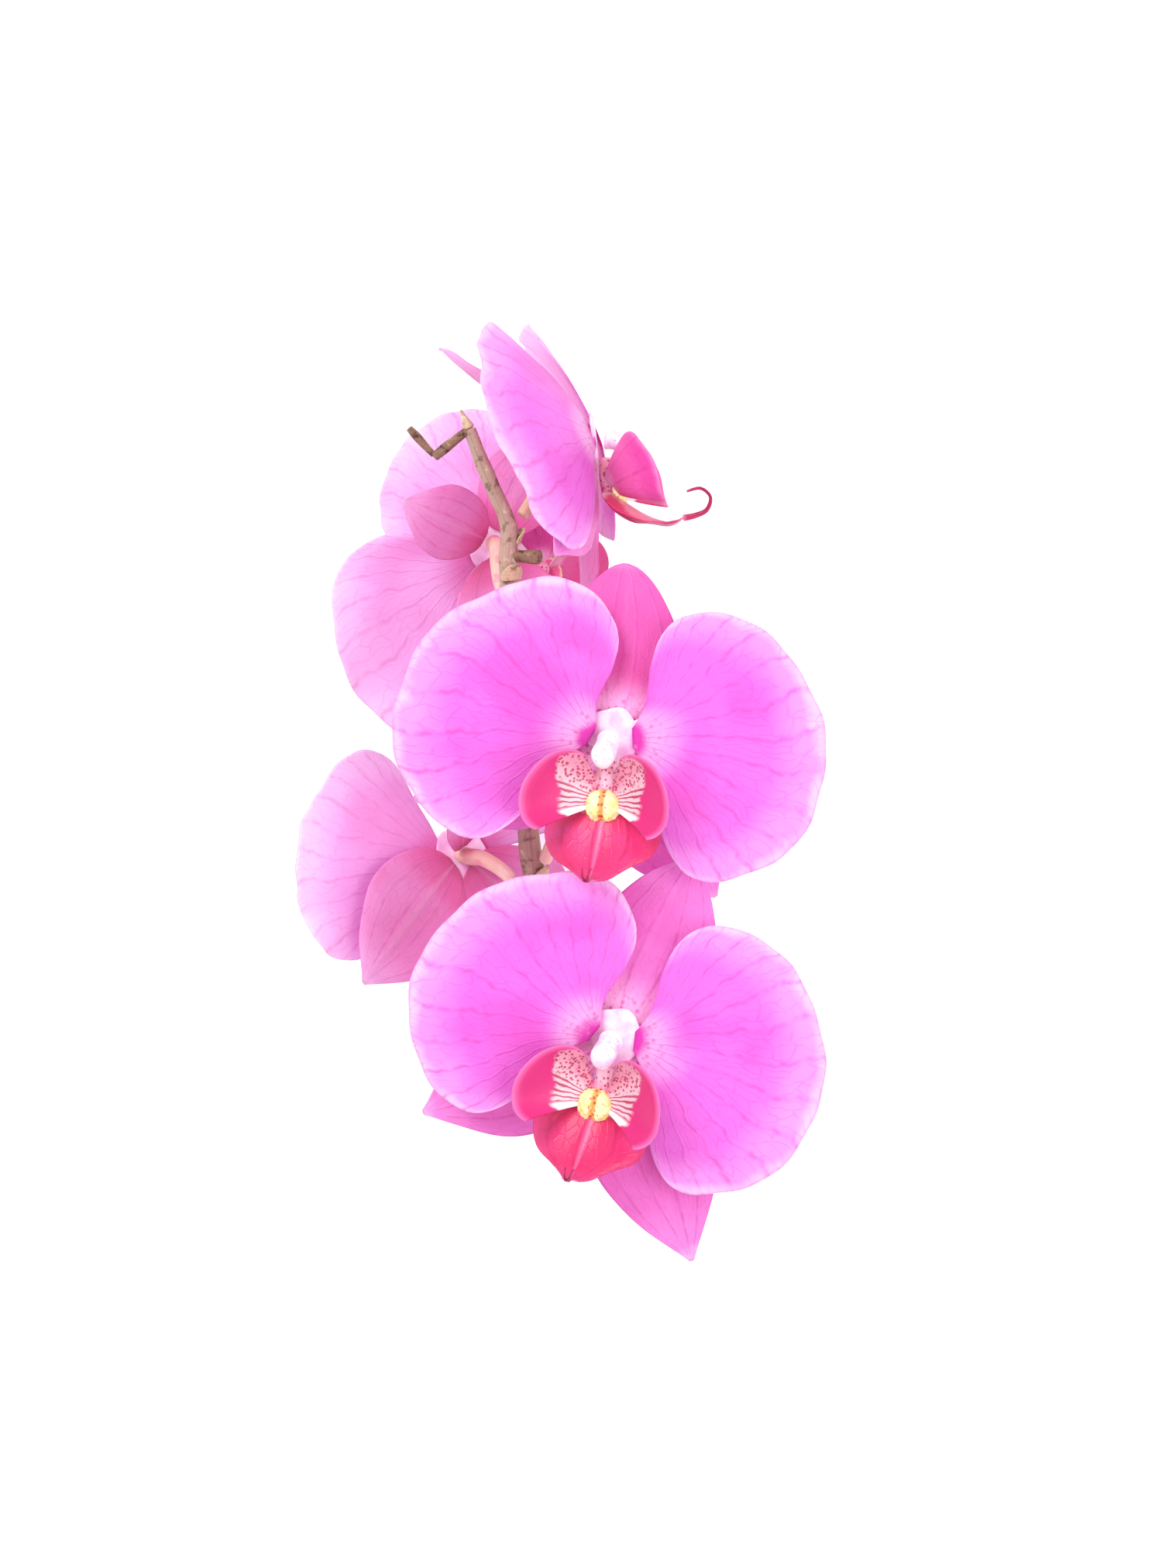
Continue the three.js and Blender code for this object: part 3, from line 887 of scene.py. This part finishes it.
def along(values: Iterable[float], place: Array) -> Array:
    """Reads a smooth value along a list.

    Args:
        values: evenly spaced values, a number or a point each.
        place: where to read, from 0 to 1.

    Returns:
        One value, or one point, for each place.
    """
    listed = np.asarray(values, float)
    at = np.clip(place, 0, 1) * (len(listed) - 1)
    low = np.minimum(np.floor(at).astype(int), len(listed) - 2)
    t = at - low
    if listed.ndim > 1:
        t = t[:, None]
    first, second = listed[low], listed[low + 1]
    before, after = listed[np.maximum(low - 1, 0)], listed[np.minimum(low + 2, len(listed) - 1)]
    slope_in, slope_out = (second - before) / 2, (after - first) / 2
    a = 2 * first - 2 * second + slope_in + slope_out
    b = -3 * first + 3 * second - 2 * slope_in - slope_out
    return a * t**3 + b * t**2 + slope_in * t + first


def extended(centres: Array, start: float, end: float) -> Array:
    """Carries a centre line on past its ends, so that a stalk grows out of what it joins.

    Args:
        centres: points of the centre line, in millimetres.
        start: how far to carry it back from its first point.
        end: how far to carry it on from its last point.

    Returns:
        The points with the two ends moved out.
    """
    line = centres.copy()
    for last, before, reach in ((0, 1, start), (-1, -2, end)):
        way = centres[last] - centres[before]
        line[last] = centres[last] + way / np.linalg.norm(way) * reach
    return line


def tube(name: str, centres: Array, radii: Array, cells: tuple[int, int], lumps: float = 0.0) -> Piece:
    """Makes a round stalk with rounded ends along a centre line.

    Args:
        name: the piece's name.
        centres: points of its centre line in millimetres.
        radii: its radius at each point.
        cells: how many cells it has round and along.
        lumps: how far its skin swells and shrinks, in millimetres.

    Returns:
        The closed stalk.
    """
    places = np.linspace(0, 1, 200)
    line = along(centres, places)
    forward = np.gradient(line, axis=0)
    forward /= np.linalg.norm(forward, axis=1)[:, None]
    aside = np.empty_like(line)
    first = np.cross(forward[0], (0.3, 0.1, 1.0))
    aside[0] = first / np.linalg.norm(first)
    for i in range(1, len(line)):
        carried = aside[i - 1] - forward[i] * (aside[i - 1] @ forward[i])
        aside[i] = carried / np.linalg.norm(carried)
    third = np.cross(forward, aside)
    length = np.linalg.norm(np.diff(line, axis=0), axis=1).sum()
    phases = np.random.default_rng(len(name) * 7 + int(length)).uniform(0, math.tau, 4)

    def surface(u: Array, v: Array) -> Array:
        """Places the stalk's skin."""
        index = v * (len(line) - 1)
        low = np.minimum(np.floor(index).astype(int), len(line) - 2)
        t = (index - low)[:, None]
        radius = along(radii, v)
        swell = np.sin(v * length / 3.1 + phases[0]) * 0.5
        swell = swell + np.sin(v * length / 1.3 + phases[1] + 3 * np.sin(u * math.tau)) * 0.3
        ridged = np.sin(u * math.tau * 3 + phases[2] + v * 2) * 0.4
        radius = radius + lumps * (swell + ridged)
        end = np.minimum(v, 1 - v) * length
        rounded = np.sqrt(np.clip(1 - (1 - np.clip(end / (0.5 * radius), 0, 1)) ** 2, 0, 1))
        radius = radius * rounded
        angle = (u * math.tau)[:, None]
        centre, one, other = (part[low] * (1 - t) + part[low + 1] * t for part in (line, aside, third))
        return centre + radius[:, None] * (np.cos(angle) * one + np.sin(angle) * other)

    return woven(name, cells, surface, closed=True)


def join(name: str, pieces: list[Piece]) -> Piece:
    """Joins pieces into the first of them and names it."""
    deselect()
    for piece in pieces:
        piece.select_set(True)
    bpy.context.view_layer.objects.active = pieces[0]
    bpy.ops.object.join()
    pieces[0].name = pieces[0].data.name = name
    return pieces[0]


# ---------------------------------------------------------------- petals and sepals


def smoothstep(value: Array, low: float, high: float) -> Array:
    """Eases from 0 to 1 between two values."""
    t = np.clip((value - low) / (high - low), 0, 1)
    return t * t * (3 - 2 * t)


def rested(points: Array) -> Array:
    """Bends a blade level where it would dip into the surface that the spray lies on.

    Args:
        points: points of the blade in the model's millimetres, with the surface at a height of 0.

    Returns:
        The points, with the low ones eased up to just over the surface.
    """
    clear, soft = 0.3, 0.4
    points[:, 2] = clear + soft * np.logaddexp(0, (points[:, 2] - clear) / soft)
    return points


class Side(Enum):
    """Which side of the flower a piece is on, as seen from its front."""

    LEFT = -1
    RIGHT = 1


@dataclass(frozen=True, kw_only=True)
class Blade:
    """A thin sheet with a face and a back, bent into the flower's dome and swept back by degrees.

    It stands at a height over the flower's centre, rises by its lean and falls away by its curl.
    """

    face: Finish
    back: Finish
    thickness: float
    cells: tuple[int, int]
    height: float
    lean: float
    curl: float = 0.0042
    sweep: float = 0.0
    seed: int = 1

    def surface(self, u: Array, v: Array) -> Array:
        """Places the blade's points: across and along, from 0 to 1, in the flower's axes."""
        raise NotImplementedError

    def domed(self, x: Array, y: Array, raised: Array) -> Array:
        """Bends flat points into the dome and sweeps them back.

        Args:
            x: how far right of the flower's centre each point is.
            y: how far up.
            raised: how far it stands over the dome.

        Returns:
            The points in the flower's axes.
        """
        r = np.maximum(np.hypot(x, y), 1e-6)
        z = self.lean * r - self.curl * r * r + raised
        sine, cosine = turned(self.sweep)
        share = cosine + (z / r) * sine
        return np.column_stack([x * share, y * share, self.height + z * cosine - r * sine])

    def build(self, name: str, axes: Axes) -> Piece:
        """Builds the blade in a flower's axes and returns it."""
        piece = woven(name, self.cells, lambda u, v: rested(axes.world(self.surface(u, v))))
        wear(piece, self.face, self.back)
        thicken(piece, self.thickness, 0.3, self.cells)
        return piece


@dataclass(frozen=True)
class Petal(Blade):
    """A broad fan on a narrow claw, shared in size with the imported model."""

    side: Side
    direction: float
    span: float
    radii: tuple[float, ...]
    _: KW_ONLY
    face: Finish = PETAL_FACE
    back: Finish = PETAL_BACK
    thickness: float = 0.62
    cells: tuple[int, int] = (84, 48)
    height: float = 0.9
    lean: float = 0.12
    claw_width: float = 4.6
    claw_offset: float = 4.8
    claw_span: float = 58.0
    ruffle: float = 0.8
    ruffle_waves: float = 4.0

    def surface(self, u: Array, v: Array) -> Array:
        """Places the fan, which opens from the claw and waves along its rim."""
        side = self.side.value
        s = -side * (2 * u - 1)
        phases = np.random.default_rng(self.seed).uniform(0, math.tau, 6)
        middle = math.radians(self.direction)
        fan = np.sin(math.pi / 2 * s)
        opening = np.radians(self.claw_span + (self.span - self.claw_span) * smoothstep(v, 0, 0.8))
        angle = middle + side * fan * opening
        notch = 1 + 0.007 * np.sin(fan * 13 + phases[0]) * v**4
        notch += 0.004 * np.sin(fan * 29 + phases[1]) * v**6
        radius = along(self.radii, (s + 1) / 2) * v * notch
        claw = self.claw_width / 2 * fan * side * (1 - v)
        x = side * self.claw_offset + radius * np.cos(angle) - claw * math.sin(middle)
        y = radius * np.sin(angle) + claw * math.cos(middle)
        wave = np.sin(fan * math.pi * self.ruffle_waves) * self.ruffle * v**4
        wave += 0.3 * np.sin(fan * 21 + phases[2]) * v**7 + 0.16 * np.sin(fan * 43 + phases[3]) * v**9
        wave += 0.35 * np.sin(fan * 6 + v * 4 + phases[4]) * v**2 * (1 - v)
        wave -= 0.6 * np.exp(-((s / 0.09) ** 2)) * v * (1 - v) ** 0.7
        return self.domed(x, y, wave)


@dataclass(frozen=True)
class Sepal(Blade):
    """An ovate blade behind the petals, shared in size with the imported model."""

    direction: float
    length: float
    width: float
    _: KW_ONLY
    face: Finish = SEPAL_FACE
    back: Finish = SEPAL_BACK
    thickness: float = 0.66
    cells: tuple[int, int] = (40, 60)
    height: float = -1.1
    lean: float = 0.0
    claw_width: float = 4.5
    claw_offset: float = 3.4
    keel: float = 0.9
    point: float = 0.33
    tip_half_width: float = 0.6

    def surface(self, u: Array, v: Array) -> Array:
        """Places the blade, which is keeled down its middle and waves along its rim."""
        s = -(2 * u - 1)
        phases = np.random.default_rng(self.seed).uniform(0, math.tau, 4)
        middle = math.radians(self.direction)
        out = np.array([math.cos(middle), math.sin(middle)])
        reach = self.claw_offset + self.length * v
        share = np.maximum(np.sin(math.pi * v**0.88), 0) ** (0.72 + self.point * v)
        half = self.width / 2 * share + self.claw_width / 2 * (1 - v) ** 2 + self.tip_half_width * v
        half = half * (1 + 0.012 * np.sin(v * 17 + phases[0] + s))
        x = out[0] * reach - out[1] * half * s
        y = out[1] * reach + out[0] * half * s
        keel = self.keel * (s * s - 1) * np.sin(math.pi * v)
        keel += 0.4 * (self.keel - 0.9) * (np.abs(s) - s * s) * np.sin(math.pi * v)
        keel += 0.35 * np.sin(v * 9 + phases[1] + s * 1.3) * s**2
        keel += 0.18 * np.sin(v * 23 + phases[2]) * s**4
        keel -= 0.35 * np.exp(-((s / 0.12) ** 2)) * np.sin(math.pi * v)
        return self.domed(x, y, keel)


# ---------------------------------------------------------------- lip and column


@dataclass(frozen=True)
class Lip:
    """The lip: two upright side lobes, a callus between them and a pointed mid lobe."""

    tip: tuple[float, float, float] = (0.0, -32.5, 20.5)
    root: tuple[float, float, float] = (0.0, -5.0, 2.4)
    seat: tuple[float, float, float] = (0.0, -15.5, 6.0)
    mid_width: float = 28.0
    mid_arch: float = 4.5
    mid_droop: float = 2.0
    mid_upturn: float = 14.0
    upturn_from: float = 0.8
    side_reach: float = 17.0
    side_near: float = 12.0
    side_far: float = 110.0
    side_forward: float = 13.0
    side_near_share: float = 0.3
    side_cup: float = 1.6
    side_start: float = 1.5
    side_trim: float = 0.12
    side_corner: float = 0.14
    callus_radius: float = 4.2
    claw_radius: float = 2.0
    thickness: float = 0.75
    tendril: float = 0.45
    tendril_lean: float = 1.0
    back: Finish = MID_LOBE_BACK
    cells: tuple[int, int] = (48, 48)

    def mid_lobe(self, u: Array, v: Array) -> Array:
        """Places the mid lobe, which narrows to a point that turns up, with a groove down it."""
        s = -(2 * u - 1)
        spread = np.maximum(np.sin(math.pi * v**0.62), 0) ** (0.6 + v)
        share = 0.12 + 0.88 * spread
        half = self.mid_width / 2 * share
        centre = np.array(self.seat) + (np.array(self.tip) - np.array(self.seat)) * v[:, None]
        upturn = self.mid_upturn * np.maximum(0, v - self.upturn_from) ** 1.2
        y = centre[:, 1] - self.mid_droop * np.sin(math.pi * v) + upturn
        z = centre[:, 2] - self.mid_arch * s * s * share
        groove = 0.8 * np.exp(-((s / 0.1) ** 2)) * np.sin(math.pi * v)
        wave = 0.35 * np.sin(v * 15 + s) * s**2
        return np.column_stack([half * s, y - wave, z - groove + wave])

    def side_lobe(self, side: Side, u: Array, v: Array) -> Array:
        """Places a side lobe, a wing that curves forward from beside the callus."""
        s = side.value * (2 * u - 1)
        outward = (s + 1) / 2
        turn = np.radians(self.side_near + (self.side_far - self.side_near) * outward)
        cupped = np.sin(math.pi / 2 * outward)
        forward = self.side_forward * (self.side_near_share + (1 - self.side_near_share) * cupped)
        reach = self.side_reach * v * (1 - self.side_trim * s**2 - self.side_corner * s**6)
        x = side.value * (self.side_start + reach * np.sin(turn))
        y = self.seat[1] + reach * np.cos(turn) + self.side_start * (1 - s) * (1 - v)
        z = self.seat[2] + forward * v**self.side_cup + self.side_start * s * (1 - v)
        wave = 0.3 * np.sin(s * 7) * v**4
        return np.column_stack([x, y, z + wave])

    def callus(self, u: Array, v: Array) -> Array:
        """Places the callus, a fleshy bump of two cheeks with teeth on top."""
        around, rise = u * math.tau, (v - 0.5) * math.pi
        level = np.cos(rise)
        flat = np.column_stack([level * np.cos(around), level * np.sin(around), np.sin(rise)])
        cleft = np.exp(-((flat[:, 0] / 0.22) ** 2)) * np.clip(flat[:, 2] + 0.3, 0, 1)
        teeth = 0.05 * np.sin(flat[:, 0] * 14) * np.sin(flat[:, 1] * 12)
        radius = self.callus_radius * (1 - 0.3 * cleft + teeth)
        grown = flat * radius[:, None] * np.array([1.0, 1.0, 0.8])
        grown[:, 2] = np.where(grown[:, 2] < 0, grown[:, 2] * 0.45, grown[:, 2])
        return grown + np.array(self.seat) + np.array([0, 0, 1])

    def build(self, name: str, axes: Axes) -> Piece:
        """Builds the whole lip in its flower's face axes and returns it."""
        middle = woven("mid_lobe", self.cells, lambda u, v: axes.world(self.mid_lobe(u, v)))
        wear(middle, MID_LOBE_FACE, self.back)
        thicken(middle, self.thickness, 0.4, self.cells)
        parts = [middle]
        for side in Side:
            wing = woven(
                "side_lobe", self.cells, lambda u, v, side=side: axes.world(self.side_lobe(side, u, v))
            )
            wear(wing, SIDE_LOBE_FACE, SIDE_LOBE_BACK)
            if side is Side.LEFT:
                flip_across(wing)
            thicken(wing, self.thickness, 0.4, self.cells)
            parts.append(wing)
        bump = woven("callus", (48, 32), lambda u, v: axes.world(self.callus(u, v)), closed=True)
        wear(bump, CALLUS)
        parts.append(bump)
        root, seat = np.array(self.root), np.array(self.seat)
        route = np.array([root, (root + seat) / 2 - (0, 0, 0.6), seat])
        claw = tube("claw", axes.world(route), np.array([1.0, 1.0, 1.3]) * self.claw_radius, (24, 24))
        wear(claw, CLAW_SKIN)
        parts.append(claw)
        tip = self.mid_lobe(np.array([0.5]), np.array([0.985]))[0]
        for side in Side:
            # The tendrils run forward from the tip, then curl up and back over the mid lobe.
            x = side.value
            curl = np.array(
                [
                    (0.2 * x, 0.0, 0.0),
                    (0.6 * x, 0.3, 3.2),
                    (1.0 * x, 1.4, 6.2),
                    (1.6 * x, 4.4, 7.4),
                    (2.2 * x, 6.8, 5.2),
                    (2.4 * x, 6.4, 1.6),
                ]
            )
            thin = np.array([0.85, 0.7, 0.55, 0.42, 0.32, 0.2]) * (0.4 + 0.6 * self.tendril)
            curl *= np.array([1.0, 1.0, self.tendril_lean]) * self.tendril
            tendril = tube("tendril", axes.world(tip + curl), thin, (12, 40))
            wear(tendril, MID_LOBE_DARK)
            parts.append(tendril)
        return join(name, parts)


def build_column(name: str, axes: Axes, form: ColumnForm) -> Piece:
    """Builds the column with its hooded anther cap.

    Args:
        name: the piece's name.
        axes: the flower's face axes.
        form: the column's sizes.

    Returns:
        The closed column.
    """
    sine, cosine = turned(form.droop)
    forward = np.array([0, -sine, cosine])
    lower = np.array([0, -cosine, -sine])
    aside = np.array([1.0, 0, 0])

    def surface(u: Array, v: Array) -> Array:
        """Places the column's skin."""
        around = u * math.tau
        base, cap = form.base_radius, form.cap_radius
        foot = [base * share for share in (0.0, 1.2, 1.15, 1.12, 1.1)]
        head = [cap * share for share in (0.86, 0.9, 0.86, 0.6, 0.0)]
        radius = along(foot + head, v)
        toward_lip = np.cos(around)
        # The stigma is a hollow under the cap, on the side of the lip.
        hollow = 0.45 * np.exp(-(((v - 0.52) / 0.1) ** 2)) * np.clip(toward_lip, 0, 1) ** 2
        beak = 0.22 * np.exp(-(((v - 0.82) / 0.08) ** 2)) * np.clip(toward_lip, 0, 1) ** 3
        wings = 0.12 * np.exp(-(((v - 0.5) / 0.2) ** 2)) * np.abs(np.sin(around)) ** 3
        radius = radius * (1 - hollow + beak + wings)
        height = form.length * np.clip(np.interp(v, [0, 0.08, 0.93, 1], [0, 0.03, 0.985, 1]), 0, 1)
        start = np.array([0, 0, form.start])
        across = radius[:, None] * (toward_lip[:, None] * lower + np.sin(around)[:, None] * aside)
        return axes.world(start + height[:, None] * forward + across)

    def collar(u: Array, v: Array) -> Array:
        """Places the tissue behind the column, where the petals and sepals grow together."""
        around, out = u * math.tau, form.collar_radius * v
        waved = out * (1 + 0.06 * np.cos(5 * around) * v)
        fall = form.collar_height - 0.5 * v**2
        return axes.world(np.column_stack([waved * np.cos(around), waved * np.sin(around), fall]))

    hood = woven(name, (40, 56), surface, closed=True)
    wear(hood, COLUMN_WAX)
    disc = woven("collar", (48, 14), collar)
    seal(disc)
    wear(disc, COLLAR, COLLAR)
    solid = disc.modifiers.new("wall", "SOLIDIFY")
    solid.thickness = 0.5 * MM
    solid.offset = 0.0
    bpy.ops.object.modifier_apply(modifier="wall")
    return join(name, [hood, disc])


# ---------------------------------------------------------------- flowers

LEFT_RADII = (26, 36.5, 43.5, 47.5, 46.5, 41.5, 37, 28, 21)
RIGHT_RADII = (26, 36, 42.5, 47, 46, 42, 37, 29.5, 22)


@dataclass(frozen=True)
class Flower:
    """One open flower: three sepals, two petals, a lip, a column and its stalk."""

    name: str
    left_petal: Petal
    right_petal: Petal
    dorsal: Sepal
    left_sepal: Sepal
    right_sepal: Sepal
    lip: Lip = Lip()
    column: ColumnForm = ColumnForm()
    face_pitch: float = 12.0
    face_yaw: float = 0.0
    stalk: Finish = PEDICEL_SKIN

    def axes(self) -> tuple[Axes, Axes]:
        """Returns the flower's own axes and its face axes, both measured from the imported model."""
        face = face_axes(self.name, self.column)
        tilt = Matrix.Rotation(math.radians(self.face_pitch), 3, "X") @ Matrix.Rotation(
            math.radians(self.face_yaw), 3, "Y"
        )
        return Axes(face.origin, face.turn @ np.array(tilt).T), face

    def build(self) -> None:
        """Builds every piece of the flower and hands it over."""
        body, face = self.axes()
        blades = {
            "left_petal": (self.left_petal, "petal"),
            "right_petal": (self.right_petal, "petal"),
            "dorsal_sepal": (self.dorsal, "sepal"),
            "left_lateral_sepal": (self.left_sepal, "sepal"),
            "right_lateral_sepal": (self.right_sepal, "sepal"),
        }
        for label, (blade, slot) in blades.items():
            node = f"{self.name}_flower_{label}"
            hand_over(blade.build(f"{node}_blade", body), slot, node)
        node = f"{self.name}_flower_lip"
        hand_over(self.lip.build(f"{node}_lobes", face), "lip", node)
        node = f"{self.name}_flower_column"
        hand_over(build_column(f"{node}_hood", face, self.column), "column", node)
        node = f"{self.name}_flower_pedicel"
        centres, radii = rings(node)
        if np.linalg.norm(centres[0] - body.origin) > np.linalg.norm(centres[-1] - body.origin):
            centres, radii = centres[::-1], radii[::-1]
        stalk = tube(f"{node}_stalk", extended(centres, 2.2, 1.2), radii, (32, 110), lumps=0.08)
        wear(stalk, self.stalk)
        hand_over(stalk, "pedicel", node)


FLOWERS = (
    Flower(
        name="upper",
        left_petal=Petal(Side.LEFT, 153, 77, LEFT_RADII, seed=11),
        right_petal=Petal(Side.RIGHT, 4, 74, RIGHT_RADII, seed=12),
        dorsal=Sepal(88, 38.5, 27, face=DEEP_SEPAL_FACE, point=-0.1, seed=13),
        left_sepal=Sepal(200, 48, 28, sweep=5, seed=14),
        right_sepal=Sepal(306, 47, 28, sweep=14, seed=15),
        face_yaw=-12,
    ),
    Flower(
        name="lower",
        left_petal=Petal(Side.LEFT, 153, 77, (26, 35, 41, 45, 44.5, 40.5, 37, 29, 22), seed=21),
        right_petal=Petal(Side.RIGHT, 4, 74, RIGHT_RADII, seed=22),
        dorsal=Sepal(77, 41.5, 28, point=-0.1, seed=23),
        left_sepal=Sepal(214, 48, 28, sweep=5, seed=24),
        right_sepal=Sepal(300, 55, 28, seed=25),
        face_yaw=-12,
    ),
    Flower(
        name="top",
        left_petal=Petal(Side.LEFT, 156, 77, LEFT_RADII, sweep=18, seed=31),
        right_petal=Petal(
            Side.RIGHT, 29, 74, (27, 37, 43.5, 48, 46.5, 40, 33.5, 27.5, 21.5), sweep=8, seed=32
        ),
        dorsal=Sepal(88, 40, 27, sweep=26, keel=4.0, seed=33),
        left_sepal=Sepal(215, 42, 28, sweep=12, seed=34),
        right_sepal=Sepal(309, 42, 28, sweep=12, seed=35),
        lip=Lip(seat=(0.0, -14.0, 2.6), tip=(0.0, -24.0, 19.5), tendril=1.0, back=MID_LOBE_DARK),
        face_pitch=16,
        stalk=OLD_STALK,
    ),
    Flower(
        name="upper_back",
        left_petal=Petal(Side.LEFT, 113, 77, (20, 24, 28, 32, 34, 34, 33, 28, 22), sweep=-28, seed=41),
        right_petal=Petal(Side.RIGHT, 2, 74, (27, 38, 45, 50, 49, 44, 38, 29.5, 22), sweep=5, seed=42),
        dorsal=Sepal(88, 32, 21, sweep=28, keel=2.4, seed=43),
        left_sepal=Sepal(175, 30, 20, sweep=-4, seed=44),
        right_sepal=Sepal(316, 36, 28, sweep=8, seed=45),
        lip=Lip(tendril_lean=-0.6),
    ),
    Flower(
        name="lower_back",
        left_petal=Petal(Side.LEFT, 155, 47, (22, 30, 37, 41, 42, 38, 33, 27, 20), sweep=5, seed=51),
        right_petal=Petal(Side.RIGHT, 36, 53, (25, 34, 41, 45, 46.5, 45, 42, 34, 23), sweep=5, seed=52),
        dorsal=Sepal(88, 40, 16, sweep=40, seed=53),
        left_sepal=Sepal(250, 38, 28, sweep=5, seed=54),
        right_sepal=Sepal(348, 42, 30, sweep=5, seed=55),
        lip=Lip(tendril_lean=-0.6),
    ),
)


# ---------------------------------------------------------------- stem


@dataclass(frozen=True)
class Stem:
    """The main stem with its bracts, node scale, dry tip, side twig, dead bud and cut stub."""

    flowers: tuple[str, ...] = ("upper", "lower", "top", "upper_back", "lower_back")
    twigs: tuple[tuple[str, str, float], ...] = (
        ("side_twig", "stem", 2.2),
        ("dead_bud", "side_twig", 1.2),
        ("cut_stub", "stem", 2.4),
    )

    def rod(
        self,
        node: str,
        cells: tuple[int, int],
        lumps: float,
        finish: Finish,
        slot: str,
        onto: str = "",
        root: float = 0.0,
    ) -> None:
        """Builds a stalk along the centre line of a CAD node and hands it over.

        Args:
            node: the CAD node that it follows and stands for.
            cells: how many cells it has round and along.
            lumps: how far its skin swells and shrinks, in millimetres.
            finish: what it is made of.
            slot: not used.
            onto: the CAD node of the stalk that it grows out of.
            root: how far it runs back into that stalk, in millimetres.
        """
        centres, radii = rings(node)
        if onto:
            near = [np.linalg.norm(rings(onto)[0] - centres[end], axis=1).min() for end in (0, -1)]
            if near[0] > near[1]:
                centres, radii = centres[::-1], radii[::-1]
            centres = extended(centres, root, 0.3)
        piece = tube(f"{node}_skin", centres, radii, cells, lumps)
        wear(piece, finish)
        hand_over(piece, slot, node)

    def scale(self, node: str) -> None:
        """Builds a bract from a smoothed copy of its CAD node and hands it over."""
        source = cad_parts[node]
        piece = source.copy()
        piece.data = source.data.copy()
        piece.name = piece.data.name = f"{node}_scale"
        for key in list(piece.keys()):
            del piece[key]
        bpy.context.scene.collection.objects.link(piece)
        piece.parent = None
        piece.data.materials.clear()
        deselect()
        piece.select_set(True)
        bpy.context.view_layer.objects.active = piece
        bpy.ops.object.mode_set(mode="EDIT")
        bpy.ops.mesh.select_all(action="SELECT")
        bpy.ops.mesh.remove_doubles(threshold=0.01 * MM)
        bpy.ops.mesh.tris_convert_to_quads()
        bpy.ops.uv.smart_project()
        bpy.ops.object.mode_set(mode="OBJECT")
        smooth = piece.modifiers.new("smooth", "SUBSURF")
        smooth.levels = smooth.render_levels = 3
        bpy.ops.object.modifier_apply(modifier="smooth")
        bpy.ops.object.shade_smooth()
        wear(piece, DRY_BRACT)
        hand_over(piece, "bract", node)

    def build(self) -> None:
        """Builds every piece of the stem and hands it over."""
        self.rod("stem", (48, 360), 0.16, STEM_BARK, "stem")
        self.rod("stem_dry_tip", (24, 40), 0.1, DRY_BRACT, "bract", "stem", 0.6)
        for node, onto, root in self.twigs:
            self.rod(node, (24, 60), 0.2, DEAD_WOOD, "stem", onto, root)
        for name in self.flowers:
            self.scale(f"{name}_flower_bract")
        self.scale("node_scale")


# ---------------------------------------------------------------- studio


@dataclass(frozen=True)
class Studio:
    """The white floor, the soft lights and the camera that looks straight down."""

    eye: tuple[float, float, float] = (5.72, 0.44, 950.0)
    lens: float = 55.73
    film: float = 24.0
    floor: float = 2400.0
    floor_gap: float = 0.05
    lights: tuple[tuple[tuple[float, float, float], float, float], ...] = (
        ((-450.0, 500.0, 800.0), 600.0, 7.0),
        ((520.0, -150.0, 850.0), 700.0, 5.0),
    )
    sky: float = 0.75

    def build(self, box: tuple[Vector, Vector]) -> None:
        """Sets the floor, lights, sky and camera round the part's box.

        Args:
            box: the part's lowest and highest corners, in metres.
        """
        middle = (box[0] + box[1]) / 2
        ground = Vector((middle.x, middle.y, box[0].z))
        deselect()
        below = Vector((0, 0, self.floor_gap * MM))
        bpy.ops.mesh.primitive_plane_add(size=self.floor * MM, location=ground - below)
        floor = bpy.context.object
        floor.name = "floor"
        bpy.ops.object.transform_apply(location=True)
        wear(floor, Paper())
        floor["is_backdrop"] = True
        for place, size, power in self.lights:
            where = ground + Vector(place) * MM
            bpy.ops.object.light_add(type="AREA", location=where)
            lamp = bpy.context.object
            lamp.data.shape = "DISK"
            lamp.data.size = size * MM
            lamp.data.energy = power
            lamp.rotation_euler = (ground - where).to_track_quat("-Z", "Y").to_euler()
        sky = bpy.data.worlds.new("sky")
        sky.use_nodes = True
        sky.node_tree.nodes["Background"].inputs["Color"].default_value = (1, 1, 1, 1)
        sky.node_tree.nodes["Background"].inputs["Strength"].default_value = self.sky
        bpy.context.scene.world = sky
        bpy.ops.object.camera_add(location=ground + Vector(self.eye) * MM, rotation=(0, 0, 0))
        camera = bpy.context.object
        camera.data.sensor_fit = "VERTICAL"
        camera.data.sensor_height = self.film
        camera.data.lens = self.lens
        camera.data.clip_start = 0.01
        bpy.context.scene.camera = camera
        bpy.context.scene.view_settings.view_transform = "Standard"


def main() -> None:
    """Builds the whole spray."""
    logging.basicConfig(level=logging.INFO, format="%(name)s %(message)s")
    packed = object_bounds()
    box = (Vector(packed[0]), Vector(packed[1]))
    Studio().build(box)
    for flower in FLOWERS:
        flower.build()
    Stem().build()


if __name__ == "__main__":
    main()
